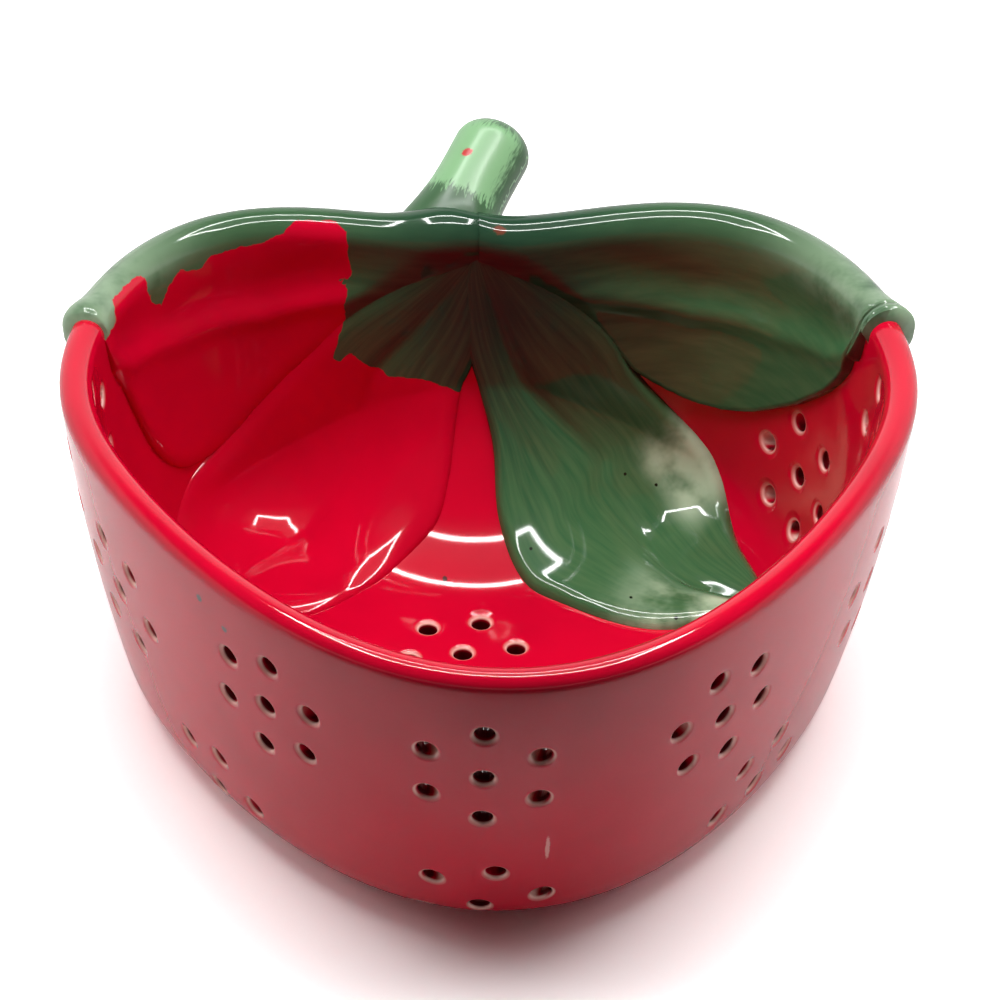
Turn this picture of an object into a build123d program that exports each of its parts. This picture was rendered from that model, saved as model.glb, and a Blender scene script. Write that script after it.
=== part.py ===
from build123d import *
import math
import os

# Berry colander bowl in glazed earthenware, in millimetres, +Z up, nose of the berry towards -Y.
# A cast shell stands on a foot ring, four leaves lie on its inside and a stem sits on its back rim.

# Plan of the rim: a round drawn out to a nose in front and dipped at the back, under the stem.
half_width = 83.6
half_length = 78.8
shoulder_pull = 5.8
flank_pull = 1.9
nose_pull = 14.6
crown_dip = 5.8

# Wall, floor and foot
rim_height = 78.0
wall = 6.5
floor_thickness = 7.0
foot_height = 2.5
foot_width = 5.0
foot_setback = 4.0
upper_draft = 5.1
lower_draft = 12.7
upright_line = 56.0
heel_radius = 11.0
front_corner_radius = 13.0
back_corner_radius = 30.0
lip_flat = 0.4

# Drain holes: a group is one hole with six round it. Each wall group has its angle from the back,
# its height and its turn, and the groups lie where no leaf covers the wall.
hole_diameter = 3.6
hole_spacing = 12.0
wall_groups = [
    Vector(183, 52, 0), Vector(208, 52, -9), Vector(155, 51, 17), Vector(239, 47, 22),
    Vector(118, 44, 8), Vector(264, 60, 8), Vector(100, 60, 20), Vector(72, 29, -21),
    Vector(183, 11, -13), Vector(221, 11, -16), Vector(144, 16, 34),
]
floor_group = Vector(-4.5, 2.3, 8)
floor_hole_spacing = 11.0
underside_margin = 3.0

# Leaves, drawn as they are seen from in front along a line that slopes down into the bowl
sight_angle = 34.5
leaf_thickness = 2.2
leaf_gap = 0.8
leaf_reach = 40.0
rib_width = 1.6
rib_depth = 0.9
rim_wrap = 1.0
wrap_depth = 6.0
tip_curl_radius = 4.6
tip_curl_turn = 83.5
tip_curl_inset = 1.0
tip_curl_drop = 2.5

# Edges of the leaves in that view, each drawn for the right and mirrored where it is the left one
upper_edges = {
    "right": [(25, -24.2), (34.5, -31.5), (47.5, -37.5), (59, -39.8), (70.4, -36.8), (77, -27.5)],
    "left": [(25.7, -21.7), (32.2, -26.3), (42.8, -34.5), (52.5, -44.7), (61, -50), (67, -46), (72, -35)],
}
lower_inner_edges = {
    "right": [(3.3, -47), (4.2, -61), (8.4, -74), (16.2, -79), (36, -84)],
    "left": [(5, -46.4), (5.8, -52.7), (8.6, -62.2), (16.4, -70.4), (23.4, -75.5), (37.3, -81.1)],
}
lower_outer_edges = {
    "right": [(57, -73), (54, -65), (52, -54), (47, -45), (34, -32.5), (25, -25.5)],
    "left": [(62, -73), (63, -62), (59, -51), (50, -41), (40, -31), (25, -20.5)],
}
upper_rib = [(6, -9), (26, -13), (46, -16.5), (65, -18), (72, -20)]
lower_ribs = {
    "right": [(3, -18), (9, -32), (24, -48), (27, -57), (40, -73), (52, -79)],
    "left": [(3, -15), (12.3, -21.6), (21, -31), (24.5, -44.2), (29.5, -56.6), (37.1, -66), (47.6, -68.9)],
}

# Stem: each section has its place along the stem, its half width and its half height. The first ones
# are low and wide, so that the stem grows out of the crest of the rim.
stem_sections = [
    Vector(4, 14.5, 5.4), Vector(7, 11.5, 7), Vector(11, 9.2, 7.8), Vector(16, 8.3, 8),
    Vector(22, 8.1, 8.1), Vector(29, 8.1, 8.1), Vector(37.6, 8.1, 8.1),
]
stem_end_round = 7.0
stem_rise = 27.0
stem_swing = 31.0
stem_turned_at = 16.0
stem_root_x = -10.6
stem_root_drop = 8.1

# Fineness of the smooth surfaces, and the angle where their outlines start, clear of holes and leaves
outline_points = 24
section_step = 8.0
outline_start = 172.5
probe_step = 0.02

# Sizes that follow from the ones above
floor_level = foot_height + floor_thickness
bore_length = 6 * wall
heel_tilt = math.radians(lower_draft)
wall_depth = rim_height - foot_height - heel_radius * (1 - math.sin(heel_tilt))
wall_run = wall_depth / math.cos(math.radians((upper_draft + lower_draft) / 2))
heel_run = heel_radius * (math.pi / 2 - heel_tilt)
crown_y = half_length - nose_pull - crown_dip


def outline_point(turn, inset=0.0, draft=0.0):
    """Plan point at an angle from the back, drawn in by the draft and moved in by the inset."""
    x = half_width * math.sin(turn) - shoulder_pull * math.sin(2 * turn) - flank_pull * math.sin(4 * turn)
    y = half_length * math.cos(turn) - nose_pull * math.cos(2 * turn) - crown_dip * math.cos(4 * turn)
    dx = half_width * math.cos(turn) - 2 * shoulder_pull * math.cos(2 * turn)
    dx -= 4 * flank_pull * math.cos(4 * turn)
    dy = 2 * nose_pull * math.sin(2 * turn) - half_length * math.sin(turn)
    dy += 4 * crown_dip * math.sin(4 * turn)
    length = math.hypot(dx, dy)
    scale = 1 - draft / half_width
    drawn_y = upright_line + scale * (y - upright_line)
    return scale * x + inset * dy / length, drawn_y - inset * dx / length


def draft_at(depth):
    """How far the side wall has drawn in at a depth below the rim."""
    top, bottom = math.tan(math.radians(upper_draft)), math.tan(heel_tilt)
    return top * depth + (bottom - top) * depth**2 / (2 * wall_depth)


def outer_profile(run):
    """Height and draft of the outer wall at a run down from the rim."""
    if run <= wall_run:
        depth = run * wall_depth / wall_run
        return rim_height - depth, draft_at(depth)
    tilt = heel_tilt + (run - wall_run) / heel_radius
    height = foot_height + heel_radius * (1 - math.sin(tilt))
    return height, draft_at(wall_depth) + heel_radius * (math.cos(heel_tilt) - math.cos(tilt))


def corner_radius(turn):
    """Radius of the inside corner, small in front, where holes pass through it, and large at the back."""
    share = (1 + math.cos(turn)) / 2
    return front_corner_radius + (back_corner_radius - front_corner_radius) * share**2


def cavity_point(turn, share, inset, floor):
    """Point of the inside at a share of the way from the edge of the floor to a little above the rim."""
    radius = corner_radius(turn)
    corner_run = radius * (math.pi / 2 - heel_tilt)
    corner_top = floor + radius * (1 - math.sin(heel_tilt))
    run = share * (corner_run + (rim_height + wall - corner_top) * wall_run / wall_depth)
    if run < corner_run:
        tilt = math.pi / 2 - run / radius
        height = floor + radius * (1 - math.sin(tilt))
        inset += radius * (math.cos(heel_tilt) - math.cos(tilt))
        draft = draft_at(rim_height - corner_top)
    else:
        height = corner_top + (run - corner_run) * wall_depth / wall_run
        draft = draft_at(rim_height - height)
    return *outline_point(turn, inset, draft), height


def smooth_ring(place):
    """Closed smooth line through the places that a function gives for angles all round."""
    turns = [math.radians(outline_start + 360 * i / outline_points) for i in range(outline_points)]
    return Wire([Spline(*[place(turn) for turn in turns], periodic=True)])


def section(height, inset, draft):
    """Closed smooth outline at one height."""
    return smooth_ring(lambda turn: (*outline_point(turn, inset, draft), height))


def even_runs(length):
    """Distances along a profile, evenly spaced from one end to the other."""
    count = math.ceil(length / section_step)
    return [length * i / count for i in range(count + 1)]


def outer_form(outset=0.0):
    """Filled outside of the bowl, grown and raised by an outset."""
    levels = [outer_profile(run) for run in reversed(even_runs(wall_run + heel_run))]
    return Solid.make_loft([section(height + outset, -outset, draft) for height, draft in levels])


def cavity_form(inset, floor):
    """Filled inside of the bowl, standing a little above the rim."""
    shares = [run / wall_run for run in even_runs(wall_run)]
    rings = [smooth_ring(lambda turn: cavity_point(turn, share, inset, floor)) for share in shares]
    return Solid.make_loft(rings)


def vessel(outset, inset, floor):
    """Open bowl between an outside and an inside, with a rounded lip."""
    body = outer_form(outset) - cavity_form(inset, floor)
    lip = body.edges().group_by(Axis.Z)[-1]
    return body.fillet((outset + inset - lip_flat) / 2, lip)


def wall_point(turn, run):
    """Point on the outer wall."""
    height, draft = outer_profile(run)
    return Vector(*outline_point(turn, 0, draft), height)


def wall_plane(turn, run):
    """Plane on the outer wall with X along the wall to the right, Y up the wall and Z outwards."""
    along = wall_point(turn - probe_step, run) - wall_point(turn + probe_step, run)
    up = wall_point(turn, run - probe_step) - wall_point(turn, run + probe_step)
    return Plane(wall_point(turn, run), x_dir=along, z_dir=along.cross(up))


def ring_of_six(spacing, turn_degrees):
    """Places of one hole and the six round it, in a flat plane."""
    ring = [Vector(spacing, 0).rotate(Axis.Z, turn_degrees + 60 * i) for i in range(6)]
    return [Vector(0, 0)] + ring


def wall_holes(group):
    """Bores of one group, all square to the wall at its middle, as one punch makes them."""
    turn = math.radians(group.X)
    run = (rim_height - group.Y) * wall_run / wall_depth
    middle = wall_plane(turn, run)
    probe = wall_point(turn - probe_step, run) - wall_point(turn + probe_step, run)
    turn_per_length = 2 * probe_step / probe.length
    bores = []
    for spot in ring_of_six(hole_spacing, 90 + group.Z):
        hole_run = run - spot.Y
        if hole_run < wall_run + heel_run - underside_margin:
            mouth = wall_point(turn - spot.X * turn_per_length, hole_run)
            bore = Plane(mouth, x_dir=middle.x_dir, z_dir=middle.z_dir)
            bores.append(bore.location * Cylinder(hole_diameter / 2, bore_length))
    return bores


def floor_holes():
    """Bores of the group in the floor."""
    centre = Vector(floor_group.X, floor_group.Y, floor_level)
    spots = ring_of_six(floor_hole_spacing, floor_group.Z)
    return [Pos(centre + spot) * Cylinder(hole_diameter / 2, bore_length) for spot in spots]


def foot():
    """Ring that the bowl stands on, flat below and set back from the heel."""
    height, draft = outer_profile(wall_run + heel_run)
    outer = Face(section(0, foot_setback, draft))
    inner = Face(section(0, foot_setback + foot_width, draft))
    return extrude(outer - inner, height, dir=(0, 0, 1))


def through_leaf(face):
    """Bar along the line of sight with the outline of a leaf or of its rib."""
    return extrude(face, leaf_reach, both=True)


sight = math.radians(sight_angle)
sight_line = Vector(0, -math.cos(sight), math.sin(sight))
sight_plane = Plane((0, crown_y, rim_height), x_dir=(1, 0, 0), z_dir=sight_line)


def seen_outline(*edges):
    """Flat face on the sloping drawing plane, closed by the edges given."""
    return sight_plane * Face(Wire(edges))


def seen_rib(*points):
    """Narrow strip along the middle of a leaf."""
    return sight_plane * trace(Spline(*points), rib_width)


def on_side(shape, side):
    """A shape drawn for the right, or its mirror image for the left."""
    return shape if side == "right" else mirror(shape, about=Plane.YZ)


def lower_leaf_outline(side):
    """Leaf that runs down the back wall and out over the floor."""
    hub_inner, hub_outer, tip = (leaf_gap / 2, -11), (2.2, -11), (61, -82)
    parting = (leaf_gap / 2, -33)
    inner = Spline(parting, *lower_inner_edges[side], tip)
    outer = Spline(tip, *lower_outer_edges[side], hub_outer)
    return on_side(seen_outline(Line(hub_inner, parting), inner, outer, Line(hub_outer, hub_inner)), side)


def upper_leaf_outline(side):
    """Leaf that runs along the back rim to its curled tip, with its top side past the rim."""
    hub, tip = (leaf_gap / 2, -9 + leaf_gap), (86, -21)
    beyond = Polyline(tip, (86, 30), (leaf_gap / 2, 30), hub)
    return on_side(seen_outline(Spline(hub, *upper_edges[side], tip), *beyond.edges()), side)


def leaf(layer, outline, rib):
    """Part of a layer on the inner wall inside an outline, grooved along its rib."""
    groove_inset = wall + leaf_thickness - rib_depth
    groove = through_leaf(rib) & cavity_form(groove_inset, floor_level + leaf_thickness - rib_depth)
    return (layer & through_leaf(outline)) - groove


def stem(seat):
    """Stem leaning back and to the right, oval along the crest at its root and round at its end."""
    rise, swing = math.radians(stem_rise), math.radians(stem_swing)
    lean = Vector(math.cos(rise) * math.sin(swing), math.cos(rise) * math.cos(swing), math.sin(rise))
    root = Vector(stem_root_x, crown_y - wall, rim_height - stem_root_drop)
    start, end = stem_sections[0].X, stem_sections[-1].X
    rings = []
    for ring in stem_sections:
        turned = swing * min(1, (ring.X - start) / (stem_turned_at - start))
        across = Vector(math.cos(turned), -math.sin(turned), 0)
        plane = Plane(root + lean * ring.X, x_dir=across, z_dir=across.cross(across.cross(lean)) * -1)
        rings.append((plane * Ellipse(ring.Y, ring.Z)).face().outer_wire())
    body = Solid.make_loft(rings)
    tip = body.edges().sort_by_distance(root + lean * end)[0]
    body = body.fillet(stem_end_round, [tip])
    return (body - seat).solids().sort_by(SortBy.VOLUME)[-1]


shell_blank = vessel(0, wall, floor_level)
bowl_shell = shell_blank - floor_holes()
for group in wall_groups:
    bowl_shell = bowl_shell - wall_holes(group)

coat = vessel(rim_wrap, wall + leaf_thickness, floor_level + leaf_thickness)
slab = Box(4 * half_width, 4 * half_length, 2 * rim_height, align=(Align.CENTER, Align.CENTER, Align.MIN))
slab = Pos(0, 0, rim_height - wrap_depth) * slab
liner = cavity_form(wall, floor_level) - cavity_form(wall + leaf_thickness, floor_level + leaf_thickness)
rim_roll = (coat & slab) - shell_blank
upper_layer = (liner - slab) + rim_roll

curl_x, curl_y = outline_point(math.radians(tip_curl_turn), tip_curl_inset)
tip_ball = Pos(curl_x, curl_y, rim_height - tip_curl_drop) * Sphere(tip_curl_radius)

pieces = {"bowl_shell": bowl_shell, "foot_ring": foot(), "stem": stem(coat)}
for side in ("right", "left"):
    upper_outline, lower_outline = upper_leaf_outline(side), lower_leaf_outline(side)
    upper_groove = on_side(seen_rib(*upper_rib), side)
    lower_groove = on_side(seen_rib(*lower_ribs[side]), side)
    curled_tip = on_side(tip_ball, side) - shell_blank
    pieces[f"leaf_upper_{side}"] = leaf(upper_layer, upper_outline, upper_groove) + curled_tip
    pieces[f"leaf_lower_{side}"] = leaf(liner, lower_outline, lower_groove) - through_leaf(upper_outline)

# The origin is on the table, under the middle of the whole bowl with its stem.
whole = Compound(children=[Compound(piece.wrapped) for piece in pieces.values()]).bounding_box()
to_origin = Pos(-whole.center().X, -whole.center().Y, -whole.min.Z)
os.makedirs("parts", exist_ok=True)
for node, piece in pieces.items():
    export_step(to_origin * piece, f"parts/{node}.step")
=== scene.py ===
import logging
import math
from collections.abc import Callable, Sequence
from dataclasses import dataclass, field
from enum import Enum

import bpy
import numpy as np
from mathutils import Matrix, Vector
from mathutils.bvhtree import BVHTree


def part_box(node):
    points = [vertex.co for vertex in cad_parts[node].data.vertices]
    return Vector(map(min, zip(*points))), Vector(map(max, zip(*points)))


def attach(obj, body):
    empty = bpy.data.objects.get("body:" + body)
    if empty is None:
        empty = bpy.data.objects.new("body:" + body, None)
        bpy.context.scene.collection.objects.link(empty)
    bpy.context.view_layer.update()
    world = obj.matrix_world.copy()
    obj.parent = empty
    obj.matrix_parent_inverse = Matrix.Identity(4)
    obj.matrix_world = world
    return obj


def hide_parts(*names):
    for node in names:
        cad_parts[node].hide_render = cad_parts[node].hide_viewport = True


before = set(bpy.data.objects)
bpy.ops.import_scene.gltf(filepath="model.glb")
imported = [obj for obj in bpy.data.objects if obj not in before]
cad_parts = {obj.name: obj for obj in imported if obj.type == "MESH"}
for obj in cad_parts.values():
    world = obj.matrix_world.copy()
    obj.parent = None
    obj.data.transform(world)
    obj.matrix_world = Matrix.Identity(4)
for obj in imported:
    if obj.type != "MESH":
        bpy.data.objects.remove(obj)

log = logging.getLogger("berry_bowl")

MM = 0.001
Array = np.ndarray
Span = tuple[float, float]
Drawn = Sequence[tuple[float, float]]
Colour = tuple[float, float, float, float]


class Side(Enum):
    """Side of the bowl, as the sign of its X."""

    RIGHT = 1.0
    LEFT = -1.0


class Socket(Enum):
    """Socket types of a shader node group."""

    COLOUR = "NodeSocketColor"
    VALUE = "NodeSocketFloat"
    VECTOR = "NodeSocketVector"


def smooth_step(low: float, high: float, value: Array) -> Array:
    """Eased step from 0 at low to 1 at high.

    Args:
        low: value where the step starts.
        high: value where it ends.
        value: values to ease.

    Returns:
        The eased values.
    """
    t = np.clip((value - low) / (high - low), 0.0, 1.0)
    return t * t * (3.0 - 2.0 * t)


def through(points: Drawn, count: int) -> Array:
    """Smooth curve through points, evenly spaced along its length.

    Args:
        points: points the curve passes through.
        count: number of places wanted.

    Returns:
        An array of count rows.
    """
    p = np.asarray(points, float)
    ends = np.vstack([2 * p[0] - p[1], p, 2 * p[-1] - p[-2]])
    fine = []
    for i in range(1, len(ends) - 2):
        a, b, c, d = ends[i - 1 : i + 3]
        t = np.linspace(0, 1, 24, endpoint=False)[:, None]
        cubic = (2 * a - 5 * b + 4 * c - d) * t**2 + (3 * b - a - 3 * c + d) * t**3
        fine.append(0.5 * (2 * b + (c - a) * t + cubic))
    line = np.vstack([*fine, p[-1:]])
    length = np.concatenate([[0], np.cumsum(np.hypot(*np.diff(line, axis=0).T))])
    at = np.linspace(0, length[-1], count)
    return np.column_stack([np.interp(at, length, line[:, k]) for k in range(2)])


def signed_distance(points: Array, outline: Drawn) -> Array:
    """Distance from points to a closed outline, negative inside it.

    Args:
        points: rows of flat points.
        outline: corners of the outline.

    Returns:
        One distance for each point.
    """
    corners = np.asarray(outline, float)
    nearest = np.full(len(points), np.inf)
    inside = np.zeros(len(points), bool)
    for a, b in zip(corners, np.roll(corners, -1, axis=0)):
        edge = b - a
        t = np.clip(((points - a) @ edge) / (edge @ edge), 0, 1)
        nearest = np.minimum(nearest, np.linalg.norm(points - a - t[:, None] * edge, axis=1))
        crosses = (a[1] > points[:, 1]) != (b[1] > points[:, 1])
        rise = np.where(abs(edge[1]) < 1e-12, 1e-12, edge[1])
        inside ^= crosses & (points[:, 0] < a[0] + (points[:, 1] - a[1]) / rise * edge[0])
    return np.where(inside, -nearest, nearest)


@dataclass(frozen=True)
class BerryForm:
    """Shape of the bowl's skin in millimetres and degrees.

    It has the CAD shell's sizes, but a rounder corner inside at the back. A turn is an angle round the bowl
    from the back. A run is a distance over the skin from the top of the lip, negative down the outside and
    positive down the inside.
    """

    shift: float
    half_width: float = 83.6
    half_length: float = 78.8
    shoulder_pull: float = 5.8
    flank_pull: float = 1.9
    nose_pull: float = 14.6
    crown_dip: float = 5.8
    rim_height: float = 78.0
    wall: float = 6.5
    floor_thickness: float = 7.0
    foot_height: float = 2.5
    upper_draft: float = 5.1
    lower_draft: float = 12.7
    upright_line: float = 56.0
    heel_radius: float = 11.0
    front_corner: float = 13.0
    back_corner: float = 42.0
    corner_power: float = 13.0
    middle_y: float = -45.0
    sight_angle: float = 34.5
    mean_radius: float = 80.0

    @property
    def nose_y(self) -> float:
        """Y of the nose before the shift to the row frame."""
        return -self.half_length - self.nose_pull - self.crown_dip

    @property
    def crown_y(self) -> float:
        """Y of the rim's dip at the back, in the row frame."""
        return self.half_length - self.nose_pull - self.crown_dip + self.shift

    @property
    def floor_level(self) -> float:
        """Height of the inside floor."""
        return self.foot_height + self.floor_thickness

    @property
    def tilt(self) -> float:
        """Slope of the wall where it meets the heel, in radians."""
        return math.radians(self.lower_draft)

    @property
    def lip(self) -> float:
        """Radius of the rounded lip."""
        return self.wall / 2

    @property
    def lip_run(self) -> float:
        """Run from the top of the lip to where the wall starts."""
        return self.lip * math.pi / 2

    @property
    def wall_depth(self) -> float:
        """Depth of the outer wall from rim to heel."""
        return self.rim_height - self.foot_height - self.heel_radius * (1 - math.sin(self.tilt))

    @property
    def fall(self) -> float:
        """Depth gained for each millimetre of run down the wall."""
        return math.cos(math.radians((self.upper_draft + self.lower_draft) / 2))

    @property
    def outer_run(self) -> float:
        """Run from the top of the lip down the outside to the underside."""
        wall = (self.wall_depth - self.lip) / self.fall
        return self.lip_run + wall + self.heel_radius * (math.pi / 2 - self.tilt)

    def corner(self, turn: Array) -> Array:
        """Radius of the inside corner, small in front and large at the back.

        Args:
            turn: angle from the back, in radians.

        Returns:
            The radius.
        """
        share = ((1 + np.cos(turn)) / 2) ** self.corner_power
        return self.front_corner + (self.back_corner - self.front_corner) * share

    def corner_top(self, turn: Array) -> Array:
        """Height where the inside corner starts.

        Args:
            turn: angle from the back, in radians.

        Returns:
            The height.
        """
        return self.floor_level + self.corner(turn) * (1 - math.sin(self.tilt))

    def inner_run(self, turn: Array) -> Array:
        """Run from the top of the lip down the inside to the floor.

        Args:
            turn: angle from the back, in radians.

        Returns:
            The run.
        """
        wall = (self.rim_height - self.lip - self.corner_top(turn)) / self.fall
        return self.lip_run + wall + self.corner(turn) * (math.pi / 2 - self.tilt)

    @property
    def middle(self) -> Array:
        """Place that the floor and the underside are drawn in to."""
        return np.array([0.0, self.middle_y + self.shift])

    def draft_at(self, depth: Array) -> Array:
        """How far the wall has drawn in at a depth.

        Args:
            depth: depth below the rim.

        Returns:
            The draft.
        """
        top, bottom = math.tan(math.radians(self.upper_draft)), math.tan(self.tilt)
        return top * depth + (bottom - top) * depth**2 / (2 * self.wall_depth)

    def outline(self, turn: Array, inset: Array = 0.0, draft: Array = 0.0) -> tuple[Array, Array]:
        """Plan of the bowl.

        Args:
            turn: angle from the back, in radians.
            inset: distance inwards along the plan normal.
            draft: distance drawn in at the sides.

        Returns:
            X and Y in the row frame.
        """
        sin, cos = np.sin, np.cos
        x = self.half_width * sin(turn) - self.shoulder_pull * sin(2 * turn)
        x = x - self.flank_pull * sin(4 * turn)
        y = self.half_length * cos(turn) - self.nose_pull * cos(2 * turn)
        y = y - self.crown_dip * cos(4 * turn)
        dx = self.half_width * cos(turn) - 2 * self.shoulder_pull * cos(2 * turn)
        dx = dx - 4 * self.flank_pull * cos(4 * turn)
        dy = 2 * self.nose_pull * sin(2 * turn) - self.half_length * sin(turn)
        dy = dy + 4 * self.crown_dip * sin(4 * turn)
        length = np.hypot(dx, dy)
        scale = 1 - draft / self.half_width
        drawn = self.upright_line + scale * (y - self.upright_line)
        return scale * x + inset * dy / length, drawn - inset * dx / length + self.shift

    def skin(self, turn: Array, run: Array) -> Array:
        """Point on the glazed skin.

        Args:
            turn: angle from the back, in radians.
            run: distance over the skin from the top of the lip, negative outside and positive inside.

        Returns:
            Points in millimetres in the row frame.
        """
        turn, run = np.broadcast_arrays(np.asarray(turn, float), np.asarray(run, float))
        far = np.abs(run)
        inside = run > 0
        bend = np.clip(far / self.lip, 0, math.pi / 2)
        inset = self.lip + np.where(inside, 1, -1) * self.lip * np.sin(bend)
        height = self.rim_height - self.lip + self.lip * np.cos(bend)
        down = np.maximum(far - self.lip_run, 0) * self.fall
        inner_last = self.rim_height - self.lip - self.corner_top(turn)
        last = np.where(inside, inner_last, self.wall_depth - self.lip)
        height = height - np.minimum(down, last)
        draft = self.draft_at(self.rim_height - height)
        radius = np.where(inside, self.corner(turn), self.heel_radius)
        level = np.where(inside, self.floor_level, self.foot_height)
        tilt = np.clip(self.tilt + np.maximum(down - last, 0) / self.fall / radius, self.tilt, math.pi / 2)
        round_off = down > last
        drawn = radius * (math.cos(self.tilt) - np.cos(tilt))
        height = np.where(round_off, level + radius * (1 - np.sin(tilt)), height)
        inset = np.where(round_off & inside, inset + drawn, inset)
        draft = np.where(round_off & ~inside, draft + drawn, draft)
        x, y = self.outline(turn, inset, draft)
        return np.stack([x, y, height], axis=-1)

    def normal(self, turn: Array, run: Array, step: float = 0.4) -> Array:
        """Outward normal of the skin.

        Args:
            turn: angle from the back, in radians.
            run: distance over the skin from the top of the lip.
            step: reach of the difference, in millimetres of run.

        Returns:
            Unit normals.
        """
        nudge = step / self.mean_radius
        around = self.skin(turn + nudge, run) - self.skin(turn - nudge, run)
        across = self.skin(turn, run + step) - self.skin(turn, run - step)
        n = np.cross(across, around)
        return n / np.linalg.norm(n, axis=-1, keepdims=True)

    def even_turns(self, count: int) -> Array:
        """Angles that space a ring evenly, with the first one repeated at the end.

        Args:
            count: number of columns.

        Returns:
            count + 1 angles.
        """
        fine = np.linspace(0, 2 * math.pi, 2001)
        x, y = self.outline(fine)
        length = np.concatenate([[0], np.cumsum(np.hypot(np.diff(x), np.diff(y)))])
        return np.interp(np.linspace(0, length[-1], count + 1), length, fine)

    def drawn(self, points: Array) -> Array:
        """Places as they are seen along the line of sight, across and up from the dip of the back rim.

        Args:
            points: points in millimetres in the row frame.

        Returns:
            Two columns.
        """
        sight = math.radians(self.sight_angle)
        back = (points[..., 1] - self.crown_y) * math.sin(sight)
        up = back + (points[..., 2] - self.rim_height) * math.cos(sight)
        return np.stack([points[..., 0], up], axis=-1)


class Clay:
    """Blender side of a piece: a mesh made from a grid whose places are given by a form."""

    @staticmethod
    def deselect() -> None:
        """Leaves no object selected."""
        if bpy.context.object and bpy.context.object.mode != "OBJECT":
            bpy.ops.object.mode_set(mode="OBJECT")
        bpy.ops.object.select_all(action="DESELECT")

    @staticmethod
    def pick(obj: bpy.types.Object) -> None:
        """Makes one object the only selected and active one.

        Args:
            obj: the object.
        """
        Clay.deselect()
        obj.select_set(True)
        bpy.context.view_layer.objects.active = obj

    @staticmethod
    def grid(name: str, places: Array, values: dict[str, Array] | None = None) -> bpy.types.Object:
        """Grid laid over given places.

        Args:
            name: name of the piece.
            places: rows by columns by three, in millimetres in the row frame.
            values: named numbers for each place, kept as attributes.

        Returns:
            The new object, at the origin.
        """
        rows, columns = places.shape[:2]
        Clay.deselect()
        bpy.ops.mesh.primitive_grid_add(x_subdivisions=columns - 1, y_subdivisions=rows - 1, size=2.0)
        obj = bpy.context.object
        obj.name = obj.data.name = name
        mesh = obj.data
        flat = np.empty(len(mesh.vertices) * 3)
        mesh.vertices.foreach_get("co", flat)
        flat = flat.reshape(-1, 3)
        column = np.rint((flat[:, 0] + 1) / 2 * (columns - 1)).astype(int)
        row = np.rint((flat[:, 1] + 1) / 2 * (rows - 1)).astype(int)
        mesh.vertices.foreach_set("co", (places[row, column] * MM).ravel())
        for key, value in (values or {}).items():
            layer = mesh.attributes.new(key, "FLOAT", "POINT")
            layer.data.foreach_set("value", value[row, column].astype(np.float32))
        mesh.update()
        return obj

    @staticmethod
    def close(obj: bpy.types.Object, gap: float = 1e-6) -> None:
        """Merges seams and poles and turns all faces outwards.

        Args:
            obj: the object.
            gap: largest distance merged, in metres.
        """
        Clay.pick(obj)
        bpy.ops.object.mode_set(mode="EDIT")
        bpy.ops.mesh.select_all(action="SELECT")
        bpy.ops.mesh.remove_doubles(threshold=gap)
        bpy.ops.mesh.dissolve_degenerate(threshold=gap)
        bpy.ops.mesh.normals_make_consistent(inside=False)
        bpy.ops.object.mode_set(mode="OBJECT")
        bpy.ops.object.shade_smooth()

    @staticmethod
    def apply(obj: bpy.types.Object, kind: str, **settings: object) -> None:
        """Adds a modifier and applies it.

        Args:
            obj: the object.
            kind: type of modifier.
            settings: values of the modifier.
        """
        Clay.pick(obj)
        modifier = obj.modifiers.new(kind.title(), kind)
        for key, value in settings.items():
            setattr(modifier, key, value)
        bpy.ops.object.modifier_apply(modifier=modifier.name)

    @staticmethod
    def places(obj: bpy.types.Object) -> Array:
        """Vertices of an object.

        Args:
            obj: the object.

        Returns:
            Rows of points in millimetres.
        """
        flat = np.empty(len(obj.data.vertices) * 3)
        obj.data.vertices.foreach_get("co", flat)
        return flat.reshape(-1, 3) / MM

    @staticmethod
    def mark(obj: bpy.types.Object, key: str, value: Array) -> None:
        """Keeps a number for each vertex as an attribute.

        Args:
            obj: the object.
            key: name of the attribute.
            value: one number for each vertex.
        """
        layer = obj.data.attributes.new(key, "FLOAT", "POINT")
        layer.data.foreach_set("value", value.astype(np.float32))


@dataclass(frozen=True)
class HoleGroup:
    """One hole with six round it in the wall: its turn in degrees, its height and the spin of the ring."""

    turn: float
    height: float
    spin: float


@dataclass(frozen=True)
class Hole:
    """Both mouths of one drain hole: their places in millimetres and the skin's normals there."""

    outer: Array
    outer_normal: Array
    inner: Array
    inner_normal: Array


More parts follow.
